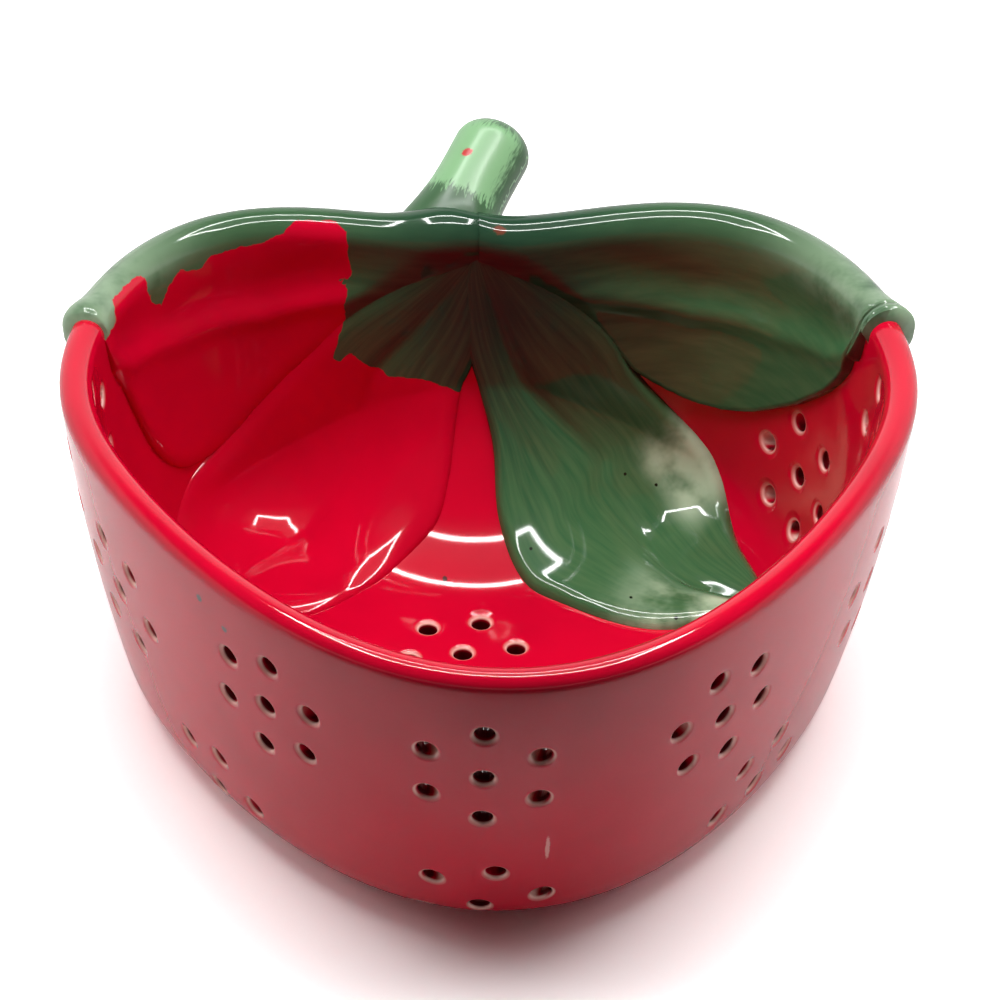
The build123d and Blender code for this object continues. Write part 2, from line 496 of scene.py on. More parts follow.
@dataclass
class BowlShell:
    """Cast shell with its drain holes.

    A mouth lists the radius of a bore and its height over the skin, from the open end inwards.
    """

    form: BerryForm
    columns: int = 288
    row_step: float = 2.0
    lip_rows: int = 13
    inner_rows: int = 44
    underside_rings: int = 10
    floor_rings: int = 16
    spacing: float = 12.0
    floor_spacing: float = 11.0
    floor_place: tuple[float, float, float] = (-4.5, 2.3, 8.0)
    underside_margin: float = 3.0
    cutter_sides: int = 28
    groups: tuple[HoleGroup, ...] = (
        HoleGroup(183, 52, 0), HoleGroup(208, 52, -9), HoleGroup(155, 51, 17), HoleGroup(239, 47, 22),
        HoleGroup(118, 44, 8), HoleGroup(264, 60, 8), HoleGroup(100, 60, 20), HoleGroup(72, 29, -21),
        HoleGroup(183, 11, -13), HoleGroup(221, 11, -16), HoleGroup(144, 16, 34),
    )
    mouth: tuple[tuple[float, float], ...] = (
        (5.2, 1.2), (3.6, 0.05), (2.8, -0.11), (2.35, -0.27), (2.05, -0.52), (1.87, -0.9), (1.8, -1.5),
    )
    edge_starts: Span = (1.93, 2.04)
    edge_ends: Span = (2.15, 2.5)
    edge_reach: float = 4.0
    # Radii over which the painted shade inside a bore fades out.
    pool_ends: Span = (1.84, 1.92)
    skin_gap: float = 0.02
    ray_start: float = 0.5
    holes: list[Hole] = field(default_factory=list)

    def build(self) -> bpy.types.Object:
        """Models the shell.

        Returns:
            The finished object.
        """
        shell = Clay.grid("berry_shell", self.skin_places())
        Clay.close(shell)
        smooth = shell.copy()
        smooth.data = shell.data.copy()
        bpy.context.collection.objects.link(smooth)
        tree = BVHTree.FromObject(shell, bpy.context.evaluated_depsgraph_get())
        cutter = self.cutters(tree)
        Clay.apply(shell, "BOOLEAN", operation="DIFFERENCE", object=cutter, solver="MANIFOLD")
        places = Clay.places(shell)
        self.keep_smooth(shell, smooth, tree, places)
        # The second mark is the painted shade inside the bores.
        thin, pooled = self.glaze_marks(places)
        Clay.mark(shell, "thin", thin)
        Clay.mark(shell, "pooled", pooled)
        bpy.data.objects.remove(cutter)
        bpy.data.objects.remove(smooth)
        return shell

    def skin_places(self) -> Array:
        """Rings from the middle of the underside, over the lip, to the middle of the floor.

        Returns:
            Rows by columns by three.
        """
        form = self.form
        turns = form.even_turns(self.columns)
        lip = np.linspace(-form.lip_run, form.lip_run, self.lip_rows)
        outside = np.linspace(-form.outer_run, -form.lip_run, round(form.outer_run / self.row_step))
        down = np.linspace(0, 1, self.inner_rows)[1:, None]
        inside = form.lip_run + down * (form.inner_run(turns) - form.lip_run)
        over = np.repeat(np.concatenate([outside[:-1], lip])[:, None], len(turns), axis=1)
        skin = form.skin(turns, np.concatenate([over, inside]))
        underside = self.disc(skin[0], self.underside_rings)
        floor = self.disc(skin[-1], self.floor_rings)
        return np.array([*underside, *skin, *reversed(floor)])

    def disc(self, ring: Array, count: int) -> list[Array]:
        """Rings that draw an outline in to the middle.

        Args:
            ring: the outline.
            count: number of rings.

        Returns:
            Rings from the middle outwards, without the outline.
        """
        middle = np.array([*self.form.middle, ring[0, 2]])
        return [middle + (ring - middle) * k for k in np.linspace(0, 1, count, endpoint=False)]

    def cutters(self, tree: BVHTree) -> bpy.types.Object:
        """Flared bores of all the holes as one object.

        Args:
            tree: the uncut shell.

        Returns:
            The cutter.
        """
        form = self.form
        for group in self.groups:
            turn = math.radians(group.turn)
            run = self.run_at(group.height)
            middle = form.normal(turn, run)
            nudge = 0.01
            ends = form.skin(turn + nudge, run) - form.skin(turn - nudge, run)
            reach = np.linalg.norm(ends) / (2 * nudge)
            for across, up in self.ring_of_six(self.spacing, 90 + group.spin):
                hole_run = run + up
                if -hole_run < form.outer_run - self.underside_margin:
                    at = turn - across / reach
                    self.add_hole(tree, form.skin(at, hole_run), -middle)
        floor_x, floor_y, floor_spin = self.floor_place
        for x, y in self.ring_of_six(self.floor_spacing, floor_spin):
            place = np.array([x + floor_x, y + floor_y + form.shift, form.foot_height])
            self.add_hole(tree, place, np.array([0.0, 0.0, 1.0]))
        bores = [self.bore(f"bore_{i}", hole) for i, hole in enumerate(self.holes)]
        Clay.deselect()
        for bore in bores:
            bore.select_set(True)
        bpy.context.view_layer.objects.active = bores[0]
        bpy.ops.object.join()
        Clay.close(bores[0], 1e-7)
        return bores[0]

    def run_at(self, height: float) -> float:
        """Run of a height on the outer wall.

        Args:
            height: height above the table.

        Returns:
            The run, negative because it is outside.
        """
        form = self.form
        return -(form.lip_run + (form.rim_height - height - form.lip) / form.fall)

    @staticmethod
    def ring_of_six(spacing: float, spin: float) -> list[tuple[float, float]]:
        """Places of one hole and the six round it.

        Args:
            spacing: distance between neighbours.
            spin: turn of the ring in degrees.

        Returns:
            Flat places.
        """
        angles = [math.radians(spin + 60 * i) for i in range(6)]
        return [(0.0, 0.0)] + [(spacing * math.cos(a), spacing * math.sin(a)) for a in angles]

    def add_hole(self, tree: BVHTree, outer: Array, inward: Array) -> None:
        """Finds where a bore leaves the shell on the inside and keeps the hole.

        Args:
            tree: the uncut shell.
            outer: place of the outer mouth.
            inward: direction of the bore.
        """
        start = Vector((outer + inward * self.ray_start) * MM)
        hit, normal, _, _ = tree.ray_cast(start, Vector(inward))
        if hit is None:
            return
        _, outer_normal, _, _ = tree.find_nearest(Vector(outer * MM))
        self.holes.append(Hole(outer, np.array(outer_normal), np.array(hit) / MM, np.array(normal)))

    def bore(self, name: str, hole: Hole) -> bpy.types.Object:
        """One bore, flared at both mouths.

        Args:
            name: name of the bore.
            hole: the hole it cuts.

        Returns:
            The bore as a tube with its ends drawn in.
        """
        upright = abs(hole.outer_normal[2]) < 0.9
        side = np.cross(hole.outer_normal, [0.0, 0.0, 1.0] if upright else [1.0, 0.0, 0.0])
        angle = np.linspace(0, 2 * math.pi, self.cutter_sides + 1)
        rings = []
        ends = ((hole.outer, hole.outer_normal, 1), (hole.inner, hole.inner_normal, -1))
        for place, normal, sign in ends:
            e1 = side - normal * (side @ normal)
            e1 = e1 / np.linalg.norm(e1)
            e2 = np.cross(normal, e1) * sign
            mouth = self.mouth if sign > 0 else self.mouth[::-1]
            for radius, rise in mouth:
                ring = np.cos(angle)[:, None] * e1 + np.sin(angle)[:, None] * e2
                rings.append(place + normal * rise + radius * ring)
        caps = [np.tile(ring[:-1].mean(axis=0), (len(angle), 1)) for ring in (rings[0], rings[-1])]
        return Clay.grid(name, np.array([caps[0], *rings, caps[1]]))

    def keep_smooth(
        self, shell: bpy.types.Object, smooth: bpy.types.Object, tree: BVHTree, places: Array
    ) -> None:
        """Gives the skin between the holes the normals of the uncut shell.

        Args:
            shell: the cut shell.
            smooth: the uncut shell.
            tree: the uncut shell as a tree.
            places: vertices of the cut shell.
        """
        group = shell.vertex_groups.new(name="skin")
        gap = self.skin_gap * MM
        on_skin = [i for i, p in enumerate(places * MM) if tree.find_nearest(Vector(p))[3] < gap]
        group.add(on_skin, 1.0, "REPLACE")
        Clay.pick(shell)
        modifier = shell.modifiers.new("Normals", "DATA_TRANSFER")
        modifier.object = smooth
        modifier.use_loop_data = True
        modifier.data_types_loops = {"CUSTOM_NORMAL"}
        modifier.loop_mapping = "POLYINTERP_NEAREST"
        modifier.vertex_group = "skin"
        bpy.ops.object.modifier_apply(modifier=modifier.name)

    def glaze_marks(self, places: Array) -> tuple[Array, Array]:
        """Where the glaze lies thin, on the edge of a hole, and where shade is painted, inside a hole.

        Args:
            places: vertices in millimetres.

        Returns:
            Two numbers from 0 to 1 for each.
        """
        thin, pooled = np.zeros(len(places)), np.zeros(len(places))
        for hole in self.holes:
            axis = hole.inner - hole.outer
            t = np.clip(((places - hole.outer) @ axis) / (axis @ axis), -0.3, 1.3)
            radius = np.linalg.norm(places - hole.outer - t[:, None] * axis, axis=1)
            edge = smooth_step(*self.edge_starts, radius) * (1 - smooth_step(*self.edge_ends, radius))
            away = [np.linalg.norm(places - mouth, axis=1) for mouth in (hole.outer, hole.inner)]
            thin = np.maximum(thin, np.where(np.minimum(*away) < self.edge_reach, edge, 0.0))
            # Painted shade lies along the bore and a tenth of its length beyond each mouth.
            bore = 1 - smooth_step(*self.pool_ends, radius)
            pooled = np.maximum(pooled, np.where(np.abs(t - 0.5) < 0.6, bore, 0.0))
        return thin, pooled


@dataclass(frozen=True)
class LeafSection:
    """Relief of a leaf across its width, in millimetres."""

    thickness: float = 2.3
    edge: float = 2.4
    rib_depth: float = 0.5
    rib_width: float = 1.6
    valley: float = 1.5
    swell: float = 0.8
    tuck: float = 0.15
    sunk: float = 0.7
    full_width: Span = (2.0, 12.0)

    def height(self, to_edge: Array, to_rib: Array, half: Array) -> Array:
        """Height of the leaf over the skin.

        Args:
            to_edge: distance to the nearest edge.
            to_rib: distance to the midrib.
            half: width of this half of the leaf.

        Returns:
            Heights.
        """
        near = np.clip(to_edge / self.edge, 0, 1)
        step = np.sqrt(1 - (1 - near) ** 2)
        groove = self.rib_depth * np.exp(-((to_rib / self.rib_width) ** 2))
        share = np.clip(to_edge / np.maximum(half, 1e-6), 0, 1)
        grown = smooth_step(*self.full_width, half)
        swell = self.swell * 4 * share * (1 - share) * grown
        relief = self.thickness * step + swell - self.valley * share * grown - groove * near
        return relief - self.tuck * (1 - near)


@dataclass
class LowerLeaf:
    """Leaf that runs down the back wall and out over the floor.

    Its edges and rib are drawn as the camera sees them, and then laid on the inside of the bowl.
    """

    form: BerryForm
    side: Side
    left: Drawn
    rib: Drawn
    right: Drawn
    section: LeafSection = LeafSection()
    reach: float = 40.0
    hub_share: float = 0.22
    hub_run: Span = (0.06, 0.36)
    slant: float = 1.15
    probe: float = 1.2
    # Where painted sheen lies on the leaf: towards its tip and along one flank.
    tip_along: Span = (0.66, 0.86)
    tip_across: Span = (-0.15, -0.4)
    flank_starts: Span = (0.5, 0.6)
    flank_ends: Span = (0.7, 0.8)
    flank_across: Span = (0.3, 0.6)
    flank_share: float = 0.9
    crease: float = 55.0
    seam: float = 2e-5
    along: int = 110
    across: int = 28
    under: int = 15

    def build(self, tree: BVHTree, paint: Callable[[Array], Array]) -> bpy.types.Object:
        """Models the leaf on the inside of the bowl.

        Args:
            tree: inside of the uncut bowl.
            paint: glaze border, as a signed distance for drawn places.

        Returns:
            The finished object.
        """
        flat, height, share, rib = self.plan()
        base, normal = self.laid(tree, flat)
        places = base + normal * height[..., None]
        # Painted sheen towards the tip and on one flank of the leaf.
        tip = smooth_step(*self.tip_along, share) * smooth_step(*self.tip_across, rib)
        flank = smooth_step(*self.flank_starts, share) * (1 - smooth_step(*self.flank_ends, share))
        flank = flank * smooth_step(*self.flank_across, rib)
        values = {
            "paint": paint(flat.reshape(-1, 2)).reshape(share.shape),
            "along": share,
            "across": rib,
            # The pale attribute carries the painted sheen.
            "pale": np.maximum(tip, self.flank_share * flank),
        }
        leaf = Clay.grid("lower_leaf_" + self.side.name.lower(), places, values)
        Clay.close(leaf, self.seam)
        bpy.ops.object.shade_smooth_by_angle(angle=math.radians(self.crease))
        return leaf

    def plan(self) -> tuple[Array, Array, Array, Array]:
        """Drawn places, heights and shares of the closed leaf, one row for each place along it.

        Returns:
            Places, heights, shares along the leaf and shares across it.
        """
        left, rib, right = (through(line, self.along) for line in (self.left, self.rib, self.right))
        s = np.linspace(0, 1, self.across)
        eased = 0.5 * s + 0.5 * (1 - (1 - s) ** 3)
        top = np.concatenate([-eased[:0:-1], eased])
        under = np.linspace(1, -1, self.under)
        share = np.concatenate([top, under])
        is_under = np.concatenate([np.zeros(len(top), bool), np.ones(len(under), bool)])
        far = np.where(share[None, :, None] < 0, left[:, None], right[:, None])
        flat = rib[:, None] + (far - rib[:, None]) * np.abs(share)[None, :, None]
        half = np.linalg.norm(far - rib[:, None], axis=2) * self.slant
        to_edge = (1 - np.abs(share))[None, :] * half
        to_rib = np.abs(share)[None, :] * half
        grown = smooth_step(*self.hub_run, np.linspace(0, 1, self.along))[:, None]
        flattened = self.hub_share + (1 - self.hub_share) * grown
        height = self.section.height(to_edge, to_rib, half) * flattened
        height = np.where(is_under[None, :], -self.section.sunk, height)
        ring = np.concatenate([np.arange(len(share)), [0]])
        along = np.repeat(np.linspace(0, 1, self.along)[:, None], len(ring), axis=1)
        return flat[:, ring], height[:, ring], along, np.repeat(share[None, ring], self.along, axis=0)

    def laid(self, tree: BVHTree, flat: Array) -> tuple[Array, Array]:
        """Lays drawn places on the inside of the bowl.

        Args:
            tree: inside of the bowl.
            flat: drawn places.

        Returns:
            Places on the skin and its normals.
        """
        step = self.probe
        shifts = [(0, 0), (step, 0), (-step, 0), (0, step), (0, -step)]
        laid = [self.cast(tree, flat + np.array(shift)) for shift in shifts]
        normal = np.cross(laid[1] - laid[2], laid[3] - laid[4])
        return laid[0], normal / np.linalg.norm(normal, axis=-1, keepdims=True)

    def cast(self, tree: BVHTree, flat: Array) -> Array:
        """Follows the line of sight from drawn places to the inside of the bowl.

        Args:
            tree: inside of the bowl.
            flat: drawn places.

        Returns:
            Places on the skin in millimetres.
        """
        form = self.form
        sight = math.radians(form.sight_angle)
        towards = Vector((0, math.cos(sight), -math.sin(sight)))
        up = np.array([0, math.sin(sight), math.cos(sight)])
        out = np.empty((*flat.shape[:2], 3))
        origin = np.array([0, form.crown_y, form.rim_height]) - np.array(towards) * self.reach
        for index in np.ndindex(flat.shape[:2]):
            u, v = flat[index]
            start = origin + np.array([u, 0, 0]) + up * v
            hit, _, _, _ = tree.ray_cast(Vector(start), towards)
            out[index] = hit if hit is not None else start
        return out


@dataclass
class UpperLeaf:
    """Leaf along the back rim, rolled over it, with a blunt curled tip.

    Its lower edge and rib are pairs of a turn in degrees and a run.
    """

    form: BerryForm
    side: Side
    low_edge: Drawn
    rib: Drawn
    tip_turn: float = 85.0
    wrap_run: float = 10.0
    section: LeafSection = LeafSection(thickness=2.2, edge=1.7)
    rim_thickness: float = 1.0
    back_reach: float = 64.4
    hub_edge: float = 11.0
    hub_reach: Span = (14.0, 34.0)
    wrap_edge: float = 3.0
    ridge_rise: float = 0.9
    ridge_width: float = 2.6
    ridge_reach: Span = (6.0, 40.0)
    valley_depth: float = 0.9
    valley_drop: float = 7.0
    valley_width: float = 5.0
    valley_reach: Span = (10.0, 40.0)
    crest_x: float = -6.0
    crest_width: float = 8.0
    crest_rise: float = 2.6
    crest_run: float = -1.0
    crest_run_width: float = 5.0
    ear_rise: float = 2.6
    ear_length: float = 6.0
    skin_gap: float = 0.02
    rim_run: Span = (1.0, 12.0)
    # Where painted sheen lies, towards the ear along the rim.
    pale_along: Span = (0.45, 0.95)
    pale_share: float = 0.5
    stroke_run: float = 40.0
    crease: float = 55.0
    seam: float = 2e-6
    along: int = 130
    across: int = 70
    under: int = 25
    tip_crowding: float = 0.06
    edge_crowding: float = 0.12

    def build(self, paint: Callable[[Array], Array]) -> bpy.types.Object:
        """Models the leaf on the rim.

        Args:
            paint: glaze border, as a signed distance for drawn places.

        Returns:
            The finished object.
        """
        form = self.form
        turns = self.turns()
        low = np.interp(np.degrees(turns), *np.array(self.low_edge).T)
        rib = np.interp(np.degrees(turns), *np.array(self.rib).T)
        s = np.linspace(0, 1, self.across)
        eased = s - self.edge_crowding * np.sin(2 * np.pi * s)
        whole = low[:, None] + self.wrap_run
        top = -self.wrap_run + whole * eased[None, :]
        under = -self.wrap_run + whole * np.linspace(1, 0, self.under)[None, :]
        run = np.concatenate([top, under, top[:, :1]], axis=1)
        is_under = np.zeros(run.shape[1], bool)
        is_under[self.across : self.across + self.under] = True
        turn = np.repeat(turns[:, None], run.shape[1], axis=1)
        height = self.relief(turn, run, low[:, None], rib[:, None])
        height = np.where(is_under[None, :], -self.section.sunk, height)
        places = form.skin(turn, run) + form.normal(turn, run) * height[..., None]
        ends = [np.tile(places[i].mean(axis=0), (1, places.shape[1], 1)) for i in (0, -1)]
        places = np.concatenate([ends[0], places, ends[1]])
        places[..., 0] *= self.side.value
        flat = form.drawn(places)
        run = np.vstack([run[:1], run, run[-1:]])
        along = np.repeat(np.linspace(0, 1, len(places))[:, None], places.shape[1], axis=1)
        rim = 1 - smooth_step(*self.rim_run, run)
        values = {
            "paint": paint(flat.reshape(-1, 2)).reshape(places.shape[:2]),
            "along": along,
            "across": run / self.stroke_run,
            "rim": rim,
            # Painted sheen towards the ear along the rim.
            "pale": self.pale_share * smooth_step(*self.pale_along, along) * rim,
        }
        leaf = Clay.grid("upper_leaf_" + self.side.name.lower(), places, values)
        Clay.close(leaf, self.seam)
        bpy.ops.object.shade_smooth_by_angle(angle=math.radians(self.crease))
        return leaf

    def turns(self) -> Array:
        """Angles of the columns, close together at the tip.

        Returns:
            Angles in radians.
        """
        even = np.linspace(0, 1, self.along)
        return np.radians(self.tip_turn) * (even + self.tip_crowding * np.sin(np.pi * even))

    def relief(self, turn: Array, run: Array, low: Array, rib: Array) -> Array:
        """Height of the leaf over the skin.

        Args:
            turn: angles.
            run: runs over the skin.
            low: run of the lower edge.
            rib: run of the midrib.

        Returns:
            Heights.
        """
        section, radius = self.section, self.form.mean_radius
        to_tip = np.radians(self.tip_turn) * radius - turn * radius
        to_edge = np.minimum(low - run, to_tip)
        soft = 1 - smooth_step(*self.hub_reach, turn * self.back_reach)
        near = np.clip(to_edge / (section.edge + (self.hub_edge - section.edge) * soft), 0, 1)
        step = np.sqrt(1 - (1 - near) ** 2) * (1 - soft) + smooth_step(0, 1, near) * soft
        inside = smooth_step(-self.form.lip_run, self.form.lip_run, run)
        ear = self.ear_rise * np.exp(-((to_tip / self.ear_length) ** 2))
        outer = np.clip((run + self.wrap_run) / self.wrap_edge, 0, 1)
        base = self.rim_thickness + (section.thickness - self.rim_thickness) * inside
        base = base + ear * (1 - inside)
        ridge = self.ridge_rise * np.exp(-(((run - rib) / self.ridge_width) ** 2))
        ridge = ridge * smooth_step(*self.ridge_reach, turn * radius)
        valley = -self.valley_depth * np.exp(-(((run - rib + self.valley_drop) / self.valley_width) ** 2))
        valley = valley * smooth_step(*self.valley_reach, turn * radius)
        across = (turn * self.back_reach * self.side.value - self.crest_x) / self.crest_width
        crest = self.crest_rise * np.exp(-(across**2))
        crest = crest * np.exp(-(((run - self.crest_run) / self.crest_run_width) ** 2))
        height = (base + (ridge + valley) * near + crest) * step
        return height * np.sqrt(1 - (1 - outer) ** 2) + self.skin_gap


@dataclass(frozen=True)
class StemRing:
    """One section of the stem: its place along it and its half width and half height."""

    at: float
    wide: float
    high: float


@dataclass
class Stem:
    """Stem on the back rim, oval where it grows out of the crest and round at its end.

    It rises and swings to the side by angles in degrees.
    """

    form: BerryForm
    length: float = 37.6
    rise: float = 27.0
    swing: float = 31.0
    turned_at: float = 16.0
    root_x: float = -10.6
    root_drop: float = 8.1
    rings: tuple[StemRing, ...] = (
        StemRing(4.0, 16.0, 5.4), StemRing(8.0, 12.6, 7.2), StemRing(12.0, 10.2, 7.9),
        StemRing(16.5, 8.7, 8.0), StemRing(22.0, 8.1, 8.1), StemRing(30.6, 8.1, 8.1),
    )
    crown: float = 6.4
    seam: float = 2e-6
    around: int = 72
    lengthwise: int = 60
    crown_rows: int = 16

    def build(self) -> bpy.types.Object:
        """Models the stem.

        Returns:
            The finished object.
        """
        form = self.form
        rise, swing = math.radians(self.rise), math.radians(self.swing)
        flat = math.cos(rise)
        lean = np.array([flat * math.sin(swing), flat * math.cos(swing), math.sin(rise)])
        root_y, root_z = form.crown_y - form.wall, form.rim_height - self.root_drop
        root = np.array([self.root_x, root_y, root_z])
        wide = through([(ring.at, ring.wide) for ring in self.rings], self.lengthwise)
        high = through([(ring.at, ring.high) for ring in self.rings], self.lengthwise)
        end = np.linspace(0, math.pi / 2, self.crown_rows)[1:]
        crown = wide[-1, 0] + self.crown * np.sin(end)
        at = np.concatenate([[wide[0, 0]], wide[:, 0], crown])
        widths = np.concatenate([[0.0], wide[:, 1], wide[-1, 1] * np.cos(end)])
        heights = np.interp(wide[:, 0], high[:, 0], high[:, 1])
        heights = np.concatenate([[0.0], heights, heights[-1] * np.cos(end)])
        turned = swing * np.clip((at - at[0]) / (self.turned_at - at[0]), 0, 1)
        side = np.stack([np.cos(turned), -np.sin(turned), np.zeros_like(turned)], axis=-1)
        up = np.cross(side, lean)
        angle = np.linspace(0, 2 * math.pi, self.around + 1)
        across = np.cos(angle)[None, :, None] * side[:, None] * widths[:, None, None]
        rising = np.sin(angle)[None, :, None] * up[:, None] * heights[:, None, None]
        places = root + at[:, None, None] * lean + across + rising
        share = np.repeat((at / self.length)[:, None], self.around + 1, axis=1)
        turn = np.repeat(angle[None] / (2 * math.pi), len(at), axis=0)
        stem = Clay.grid("berry_stem", places, {"along": share, "around": turn})
        Clay.close(stem, self.seam)
        return stem


@dataclass
class FootRing:
    """Bare ring under the floor."""

    form: BerryForm
    setback: float = 4.0
    width: float = 5.0
    round_off: float = 0.8
    corner_cut: float = 0.3
    overlap: float = 0.3
    crease: float = 40.0
    columns: int = 160

    def build(self) -> bpy.types.Object:
        """Models the ring.

        Returns:
            The finished object.
        """
        form = self.form
        turns = form.even_turns(self.columns)
        draft = form.draft_at(np.array(form.wall_depth)) + form.heel_radius * math.cos(form.tilt)
        r, top = self.round_off, form.foot_height + self.overlap
        cut = self.corner_cut * r
        outline = [(0, top), (0, r), (cut, cut), (r, 0), (self.width - r, 0)]
        outline += [(self.width - cut, cut), (self.width, r), (self.width, top), (0, top)]
        rings = []
        for inset, height in outline:
            x, y = form.outline(turns, self.setback + inset, draft)
            rings.append(np.stack([x, y, np.full_like(x, height)], axis=-1))
        ring = Clay.grid("base_ring", np.array(rings))
        Clay.close(ring)
        bpy.ops.object.shade_smooth_by_angle(angle=math.radians(self.crease))
        return ring


class Nodes:
    """Small helper that wires one node tree."""

    def __init__(self, tree: bpy.types.NodeTree) -> None:
        """Starts with an empty tree.

        Args:
            tree: the tree to fill.
        """
        self.tree = tree
        tree.nodes.clear()

    def add(
        self, kind: str, inputs: dict[str | int, object] | None = None, **settings: object
    ) -> bpy.types.Node:
        """Adds a node.

        Args:
            kind: type name of the node.
            inputs: values or output sockets for its inputs.
            settings: values of the node itself.

        Returns:
            The node.
        """
        node = self.tree.nodes.new(kind)
        for key, value in settings.items():
            setattr(node, key, value)
        for key, value in (inputs or {}).items():
            if isinstance(value, bpy.types.NodeSocket):
                self.tree.links.new(value, node.inputs[key])
            else:
                node.inputs[key].default_value = value
        return node

    def place(self) -> bpy.types.NodeSocket:
        """Object coordinates, in metres."""
        return self.add("ShaderNodeTexCoord").outputs["Object"]

    def vector(self, operation: str, a: object, b: object = (0.0, 0.0, 0.0)) -> bpy.types.NodeSocket:
        """Adds a vector maths node.

        Args:
            operation: its operation.
            a: first vector or socket.
            b: second vector or socket.

        Returns:
            Its vector.
        """
        node = self.add("ShaderNodeVectorMath", {0: a, 1: b}, operation=operation)
        return node.outputs["Vector"]

    def length(self, vector: object) -> bpy.types.NodeSocket:
        """Length of a vector.

        Args:
            vector: the vector.

        Returns:
            Its length.
        """
        return self.add("ShaderNodeVectorMath", {0: vector}, operation="LENGTH").outputs["Value"]

    def between(self, share: object, a: object, b: object) -> bpy.types.NodeSocket:
        """Number on the way from one to another.

        Args:
            share: 0 for the first and 1 for the second.
            a: first number or socket.
            b: second number or socket.

        Returns:
            The number.
        """
        inputs = {0: share, 1: 0.0, 2: 1.0, 3: a, 4: b}
        return self.add("ShaderNodeMapRange", inputs).outputs[0]

    def outside(self, value: object) -> bpy.types.NodeSocket:
        """What is left of 1, as a mask turned round.

        Args:
            value: the mask.

        Returns:
            The other mask.
        """
        return self.maths("SUBTRACT", 1.0, value)

    def maths(
        self, operation: str, a: object, b: object = 0.0, clamp: bool = False
    ) -> bpy.types.NodeSocket:
        """Adds a maths node.

        Args:
            operation: its operation.
            a: first value or socket.
            b: second value or socket.
            clamp: True to keep the result from 0 to 1.

        Returns:
            Its output.
        """
        node = self.add("ShaderNodeMath", {0: a, 1: b}, operation=operation, use_clamp=clamp)
        return node.outputs[0]

    def ramp(self, value: object, low: object, high: object) -> bpy.types.NodeSocket:
        """Eased step of a value.

        Args:
            value: the socket.
            low: value or socket that gives 0.
            high: value or socket that gives 1.

        Returns:
            The step.
        """
        inputs = {0: value, 1: low, 2: high, 3: 0.0, 4: 1.0}
        return self.add("ShaderNodeMapRange", inputs, interpolation_type="SMOOTHSTEP").outputs[0]

    def mix(self, share: object, a: object, b: object) -> bpy.types.NodeSocket:
        """Mixes two colours.

        Args:
            share: share of the second.
            a: first colour or socket.
            b: second colour or socket.

        Returns:
            The colour.
        """
        return self.add("ShaderNodeMix", {0: share, 6: a, 7: b}, data_type="RGBA").outputs[2]

    def attribute(self, name: str) -> bpy.types.NodeSocket:
        """Value of a named attribute.

        Args:
            name: its name.

        Returns:
            The value.
        """
        return self.add("ShaderNodeAttribute", attribute_name=name).outputs["Fac"]

    def noise(
        self, vector: object, scale: float, detail: float = 3.0, rough: float = 0.55
    ) -> bpy.types.NodeSocket:
        """Noise from 0 to 1.

        Args:
            vector: where it is read.
            scale: its scale.
            detail: its detail.
            rough: how strong the fine detail is.

        Returns:
            The value.
        """
        inputs = {"Vector": vector, "Scale": scale, "Detail": detail, "Roughness": rough}
        return self.add("ShaderNodeTexNoise", inputs).outputs["Fac"]


def colour_group(name: str, inputs: dict[str, Socket]) -> tuple[bpy.types.NodeTree, Nodes]:
    """Starts a node group that puts out one colour.

    Args:
        name: its name.
        inputs: names and kinds of its inputs.

    Returns:
        The group and its nodes.
    """
    tree = bpy.data.node_groups.new(name, "ShaderNodeTree")
    for key, kind in inputs.items():
        tree.interface.new_socket(key, in_out="INPUT", socket_type=kind.value)
    tree.interface.new_socket("Colour", in_out="OUTPUT", socket_type=Socket.COLOUR.value)
    return tree, Nodes(tree)


@dataclass(frozen=True)
class RedGlaze:
    """Clear red glaze that breaks pale on edges, with painted shade in the holes."""

    body: Colour = (0.58, 0.001, 0.023, 1.0)
    deep: Colour = (0.46, 0.0008, 0.018, 1.0)
    pale: Colour = (0.92, 0.62, 0.52, 1.0)
    # Near-black red painted inside the bores as shade.
    pool: Colour = (0.09, 0.002, 0.004, 1.0)
    cloud_scale: float = 22.0
    cloud_span: Span = (0.35, 0.75)
    edge_share: float = 0.9
    roughness: float = 0.07

    def group(self) -> bpy.types.NodeTree:
        """Makes the node group that gives the glaze's colour.

        Returns:
            The group.
        """
        tree, nodes = colour_group("red_glaze", {"Thin": Socket.VALUE, "Pooled": Socket.VALUE})
        into = nodes.add("NodeGroupInput").outputs
        cloud = nodes.noise(nodes.place(), self.cloud_scale)
        body = nodes.mix(nodes.ramp(cloud, *self.cloud_span), self.body, self.deep)
        body = nodes.mix(into["Pooled"], body, self.pool)
        colour = nodes.mix(nodes.maths("MULTIPLY", into["Thin"], self.edge_share), body, self.pale)
        nodes.add("NodeGroupOutput", {"Colour": colour})
        return tree


